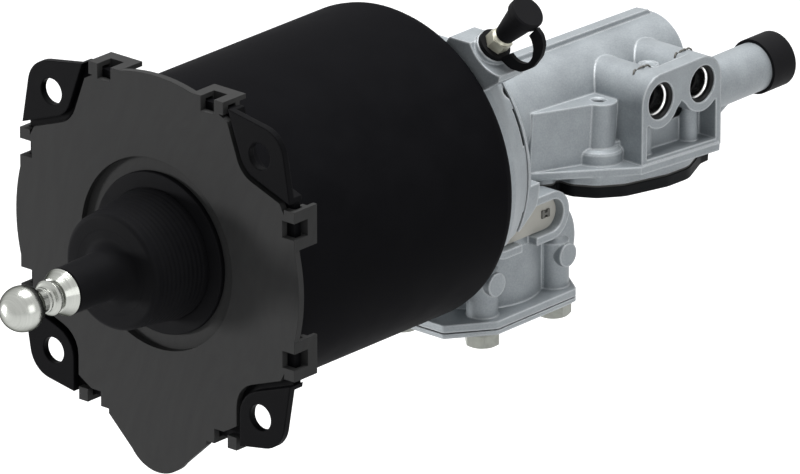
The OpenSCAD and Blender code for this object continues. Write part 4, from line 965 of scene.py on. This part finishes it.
@dataclass
class CastPad:
    """Round dished pad that stands in the valley between the two port bosses.

    Attributes:
        x: Place along X.
        y: Place along Y.
        low: Height of its foot.
        top: Height of its rim.
        radius: Radius at its rim.
        spread: Extra radius at its foot.
        rim: Distance of the rim's inner edge from its outer edge.
        slope: Distance over which the dish slopes down.
        dish: Depth of the dish at the end of that slope, and in the middle.
        rounds: Roundings of the rim's outer edge, its inner edge and the end of the slope.
        core: Radius of the hole that the lathe leaves on its axis.
        sides: Steps round the pad.
    """

    x: float = -270.2
    y: float = 26.0
    low: float = 3.5
    top: float = 10.6
    radius: float = 4.4
    spread: float = 0.3
    rim: float = 1.1
    slope: float = 1.8
    dish: tuple[float, float] = (0.6, 0.8)
    rounds: tuple[float, float, float] = (0.7, 0.5, 0.5)
    core: float = 0.02
    sides: int = 48

    def build(self, finish: Finish) -> None:
        """Makes the pad with its dished top.

        Args:
            finish: Finish of the casting.
        """
        r, h = self.radius, self.top - self.low
        outer, inner, bottom = self.rounds
        profile = softened([
            (self.core, 0.0, 0.0), (r + self.spread, 0.0, 0.0), (r, h, outer), (r - self.rim, h, inner),
            (r - self.slope, h - self.dish[0], bottom), (self.core, h - self.dish[1], 0.0)])
        work = lathe(profile, self.sides, facing(Axis.Z, self.x, self.y, self.low))
        pad = place_mesh("valley_pad", work, finish)
        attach(pad, "housing")
        LOG.info("casting: dished pad between the bosses")


@dataclass
class Flexible:
    """The parts that give when a joint moves, both springs and the strap of the bleed cap, put in as plain copies
    of their solids.

    Attributes:
        wire: Wire of the preload spring, whose end coils are closed.
        relay_wire: Wire of the relay's spring.
        bleed_at: Foot of the bleed screw's axis.
        strap_t: Distance above that foot up to which the strap stays with the housing.
        strap_reach: Distance above it from which the strap follows the cap.
    """

    wire: float = 4.4
    relay_wire: float = 2.0
    bleed_at: tuple[float, float, float] = (-150.5, 45.8, 56.4)
    strap_t: float = 2.4
    strap_reach: float = 19.0

    def stretch(self, node: str, body: str, start: Vector, end: Vector) -> None:
        """Puts a copy of a node's solid in its place and hides the solid.

        Args:
            node: Node whose solid is copied.
            body: Not used.
            start: Not used.
            end: Not used.
        """
        solid = frame["nodes"][node]
        made = bpy.data.objects.new(node + "_flexed", solid.data.copy())
        bpy.context.scene.collection.objects.link(made)
        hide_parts(node)
        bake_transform(made)
        LOG.info("%s: stretches between the housing and %s", node, body)

    def build(self) -> None:
        """Puts copies of both springs and of the bleed cap's strap in place of their solids."""
        low, high = (Vector(corner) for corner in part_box("preload_spring"))
        self.stretch("preload_spring", "piston", Vector((low.x + self.wire * MM, 0, 0)),
                     Vector((high.x - self.wire * MM, 0, 0)))
        low, high = (Vector(corner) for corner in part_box("relay_spring"))
        middle = (low + high) / 2
        self.stretch("relay_spring", "relay_piston",
                     Vector((middle.x, middle.y, low.z + self.relay_wire * MM)),
                     Vector((middle.x, middle.y, high.z - self.relay_wire * MM)))
        pull = next(j for j in frame["joints"] if j["name"] == "bleed_cap_pull")
        way = Vector(pull["axis"]).normalized()
        foot = Vector(self.bleed_at) * MM
        self.stretch("bleed_tether", "bleed_cap",
                     foot + way * self.strap_t * MM, foot + way * self.strap_reach * MM)


@dataclass(frozen=True)
class Lamp:
    """One soft square lamp: its place and side in metres, and its power in watts."""

    name: str
    at: tuple[float, float, float]
    size: float
    power: float


@dataclass
class Studio:
    """White surroundings, soft lamps, a pale floor and the camera of the picture.

    Attributes:
        camera_at: Place of the camera.
        right: Direction to the right of the picture.
        up: Direction to the top of the picture.
        back: Direction towards the viewer.
        lens: Focal length in millimetres on a sensor of 36 mm.
        world_colour: Colour of the light from all sides.
        world_strength: Its strength.
        floor_z: Height of the floor.
        floor_half: Half of its side.
        floor_colour: Its colour where it lights and takes the shadow.
        floor_glow: Light that brings its seen side close to white.
        centre: Point that the lamps face.
        lamps: The lamps.
    """

    camera_at: tuple[float, float, float] = (4.15141, 3.74849, 2.17352)
    right: tuple[float, float, float] = (-0.65727771, 0.75364846, 0.0)
    up: tuple[float, float, float] = (-0.27221242, -0.237404, 0.93249115)
    back: tuple[float, float, float] = (0.70277052, 0.61290565, 0.36119283)
    lens: float = 684.45
    world_colour: str = "#eef0f2"
    world_strength: float = 0.34
    floor_z: float = -0.30
    floor_half: float = 12.0
    floor_colour: str = "#c2c2c2"
    floor_glow: float = 0.75
    centre: tuple[float, float, float] = (-0.13, 0.0, 0.0)
    lamps: tuple[Lamp, ...] = (
        Lamp("lamp_left", (1.0, -1.35, -0.1), 0.3, 18.0),
        Lamp("lamp_top", (-0.35, 0.0, 1.5), 0.9, 27.0),
        Lamp("lamp_right", (0.0, 1.7, 0.4), 1.0, 5.0))

    def camera(self) -> None:
        """Sets the camera at the picture's angle and the plain view transform."""
        bpy.context.scene.view_settings.view_transform = "Standard"
        data = bpy.data.cameras.new("camera")
        data.sensor_width = 36.0
        data.lens = self.lens
        data.clip_end = 50.0
        made = bpy.data.objects.new("camera", data)
        bpy.context.scene.collection.objects.link(made)
        turn = Matrix((self.right, self.up, self.back)).transposed().to_4x4()
        made.matrix_world = Matrix.Translation(self.camera_at) @ turn
        bpy.context.scene.camera = made

    def surroundings(self) -> None:
        """Fills the world: white where it is seen, softer where it lights."""
        world = bpy.data.worlds.new("studio_white")
        bpy.context.scene.world = world
        world.use_nodes = True
        tree = world.node_tree
        tree.nodes.clear()
        seen = self.seen_white(tree)
        light = add(tree, "ShaderNodeBackground", {
            "Color": linear(self.world_colour), "Strength": self.world_strength})
        white = add(tree, "ShaderNodeBackground", {"Color": WHITE, "Strength": 1.0})
        both = add(tree, "ShaderNodeMixShader", {}, {0: seen, 1: light.outputs[0], 2: white.outputs[0]})
        add(tree, "ShaderNodeOutputWorld", {}, {"Surface": both.outputs[0]})

    def seen_white(self, tree: bpy.types.NodeTree) -> bpy.types.NodeSocket:
        """Tells rays that see the surroundings from rays that only carry light.

        Args:
            tree: Node tree.

        Returns:
            1 for camera, glossy and transmission rays.
        """
        path = add(tree, "ShaderNodeLightPath")
        first = add(tree, "ShaderNodeMath", {"operation": "MAXIMUM"}, {
            0: path.outputs["Is Camera Ray"], 1: path.outputs["Is Glossy Ray"]})
        last = add(tree, "ShaderNodeMath", {"operation": "MAXIMUM"}, {
            0: first.outputs[0], 1: path.outputs["Is Transmission Ray"]})
        return last.outputs[0]

    def floor(self) -> None:
        """Lays the pale floor, white where it is seen and shaded where the object's shadow falls."""
        work = bmesh.new()
        bmesh.ops.create_grid(work, x_segments=8, y_segments=8, size=self.floor_half)
        mesh = bpy.data.meshes.new("studio_floor")
        work.to_mesh(mesh)
        work.free()
        made = bpy.data.objects.new("studio_floor", mesh)
        made.location.z = self.floor_z
        bpy.context.scene.collection.objects.link(made)
        material = bpy.data.materials.new("matt_white_floor")
        material.use_nodes = True
        tree = material.node_tree
        tree.nodes.clear()
        seen = self.seen_white(tree)
        paint = add(tree, "ShaderNodeBsdfPrincipled", {
            "Base Color": linear(self.floor_colour), "Roughness": 0.9})
        glow = add(tree, "ShaderNodeEmission", {"Color": WHITE, "Strength": self.floor_glow})
        lit = add(tree, "ShaderNodeAddShader", {}, {0: paint.outputs[0], 1: glow.outputs[0]})
        both = add(tree, "ShaderNodeMixShader", {}, {0: seen, 1: paint.outputs[0], 2: lit.outputs[0]})
        add(tree, "ShaderNodeOutputMaterial", {}, {"Surface": both.outputs[0]})
        mesh.materials.append(material)

    def hang(self, lamp: Lamp) -> None:
        """Hangs one lamp that faces the object.

        Args:
            lamp: The lamp.
        """
        data = bpy.data.lights.new(lamp.name, "AREA")
        data.shape = "SQUARE"
        data.size = lamp.size
        data.energy = lamp.power
        made = bpy.data.objects.new(lamp.name, data)
        made.location = lamp.at
        made.rotation_euler = (Vector(lamp.at) - Vector(self.centre)).to_track_quat("Z", "Y").to_euler()
        bpy.context.scene.collection.objects.link(made)

    def build(self) -> None:
        """Sets the camera, the world, the floor and the lamps."""
        self.camera()
        self.surroundings()
        self.floor()
        for lamp in self.lamps:
            self.hang(lamp)
        LOG.info("studio: camera, world, floor and lamps")


def main() -> None:
    """Builds the looks piece by piece and reports each."""
    logging.basicConfig(level=logging.INFO, format="%(name)s: %(message)s")
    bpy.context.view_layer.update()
    Studio().build()
    finishes = Finishes()
    finishes.dress()
    Boot().build(finishes.boot_rubber)
    Ports().build(finishes)
    TypePlate().build(finishes.pin_steel)
    CastPad().build(finishes.cast_alloy)
    Flexible().build()


if __name__ == "__main__":
    main()
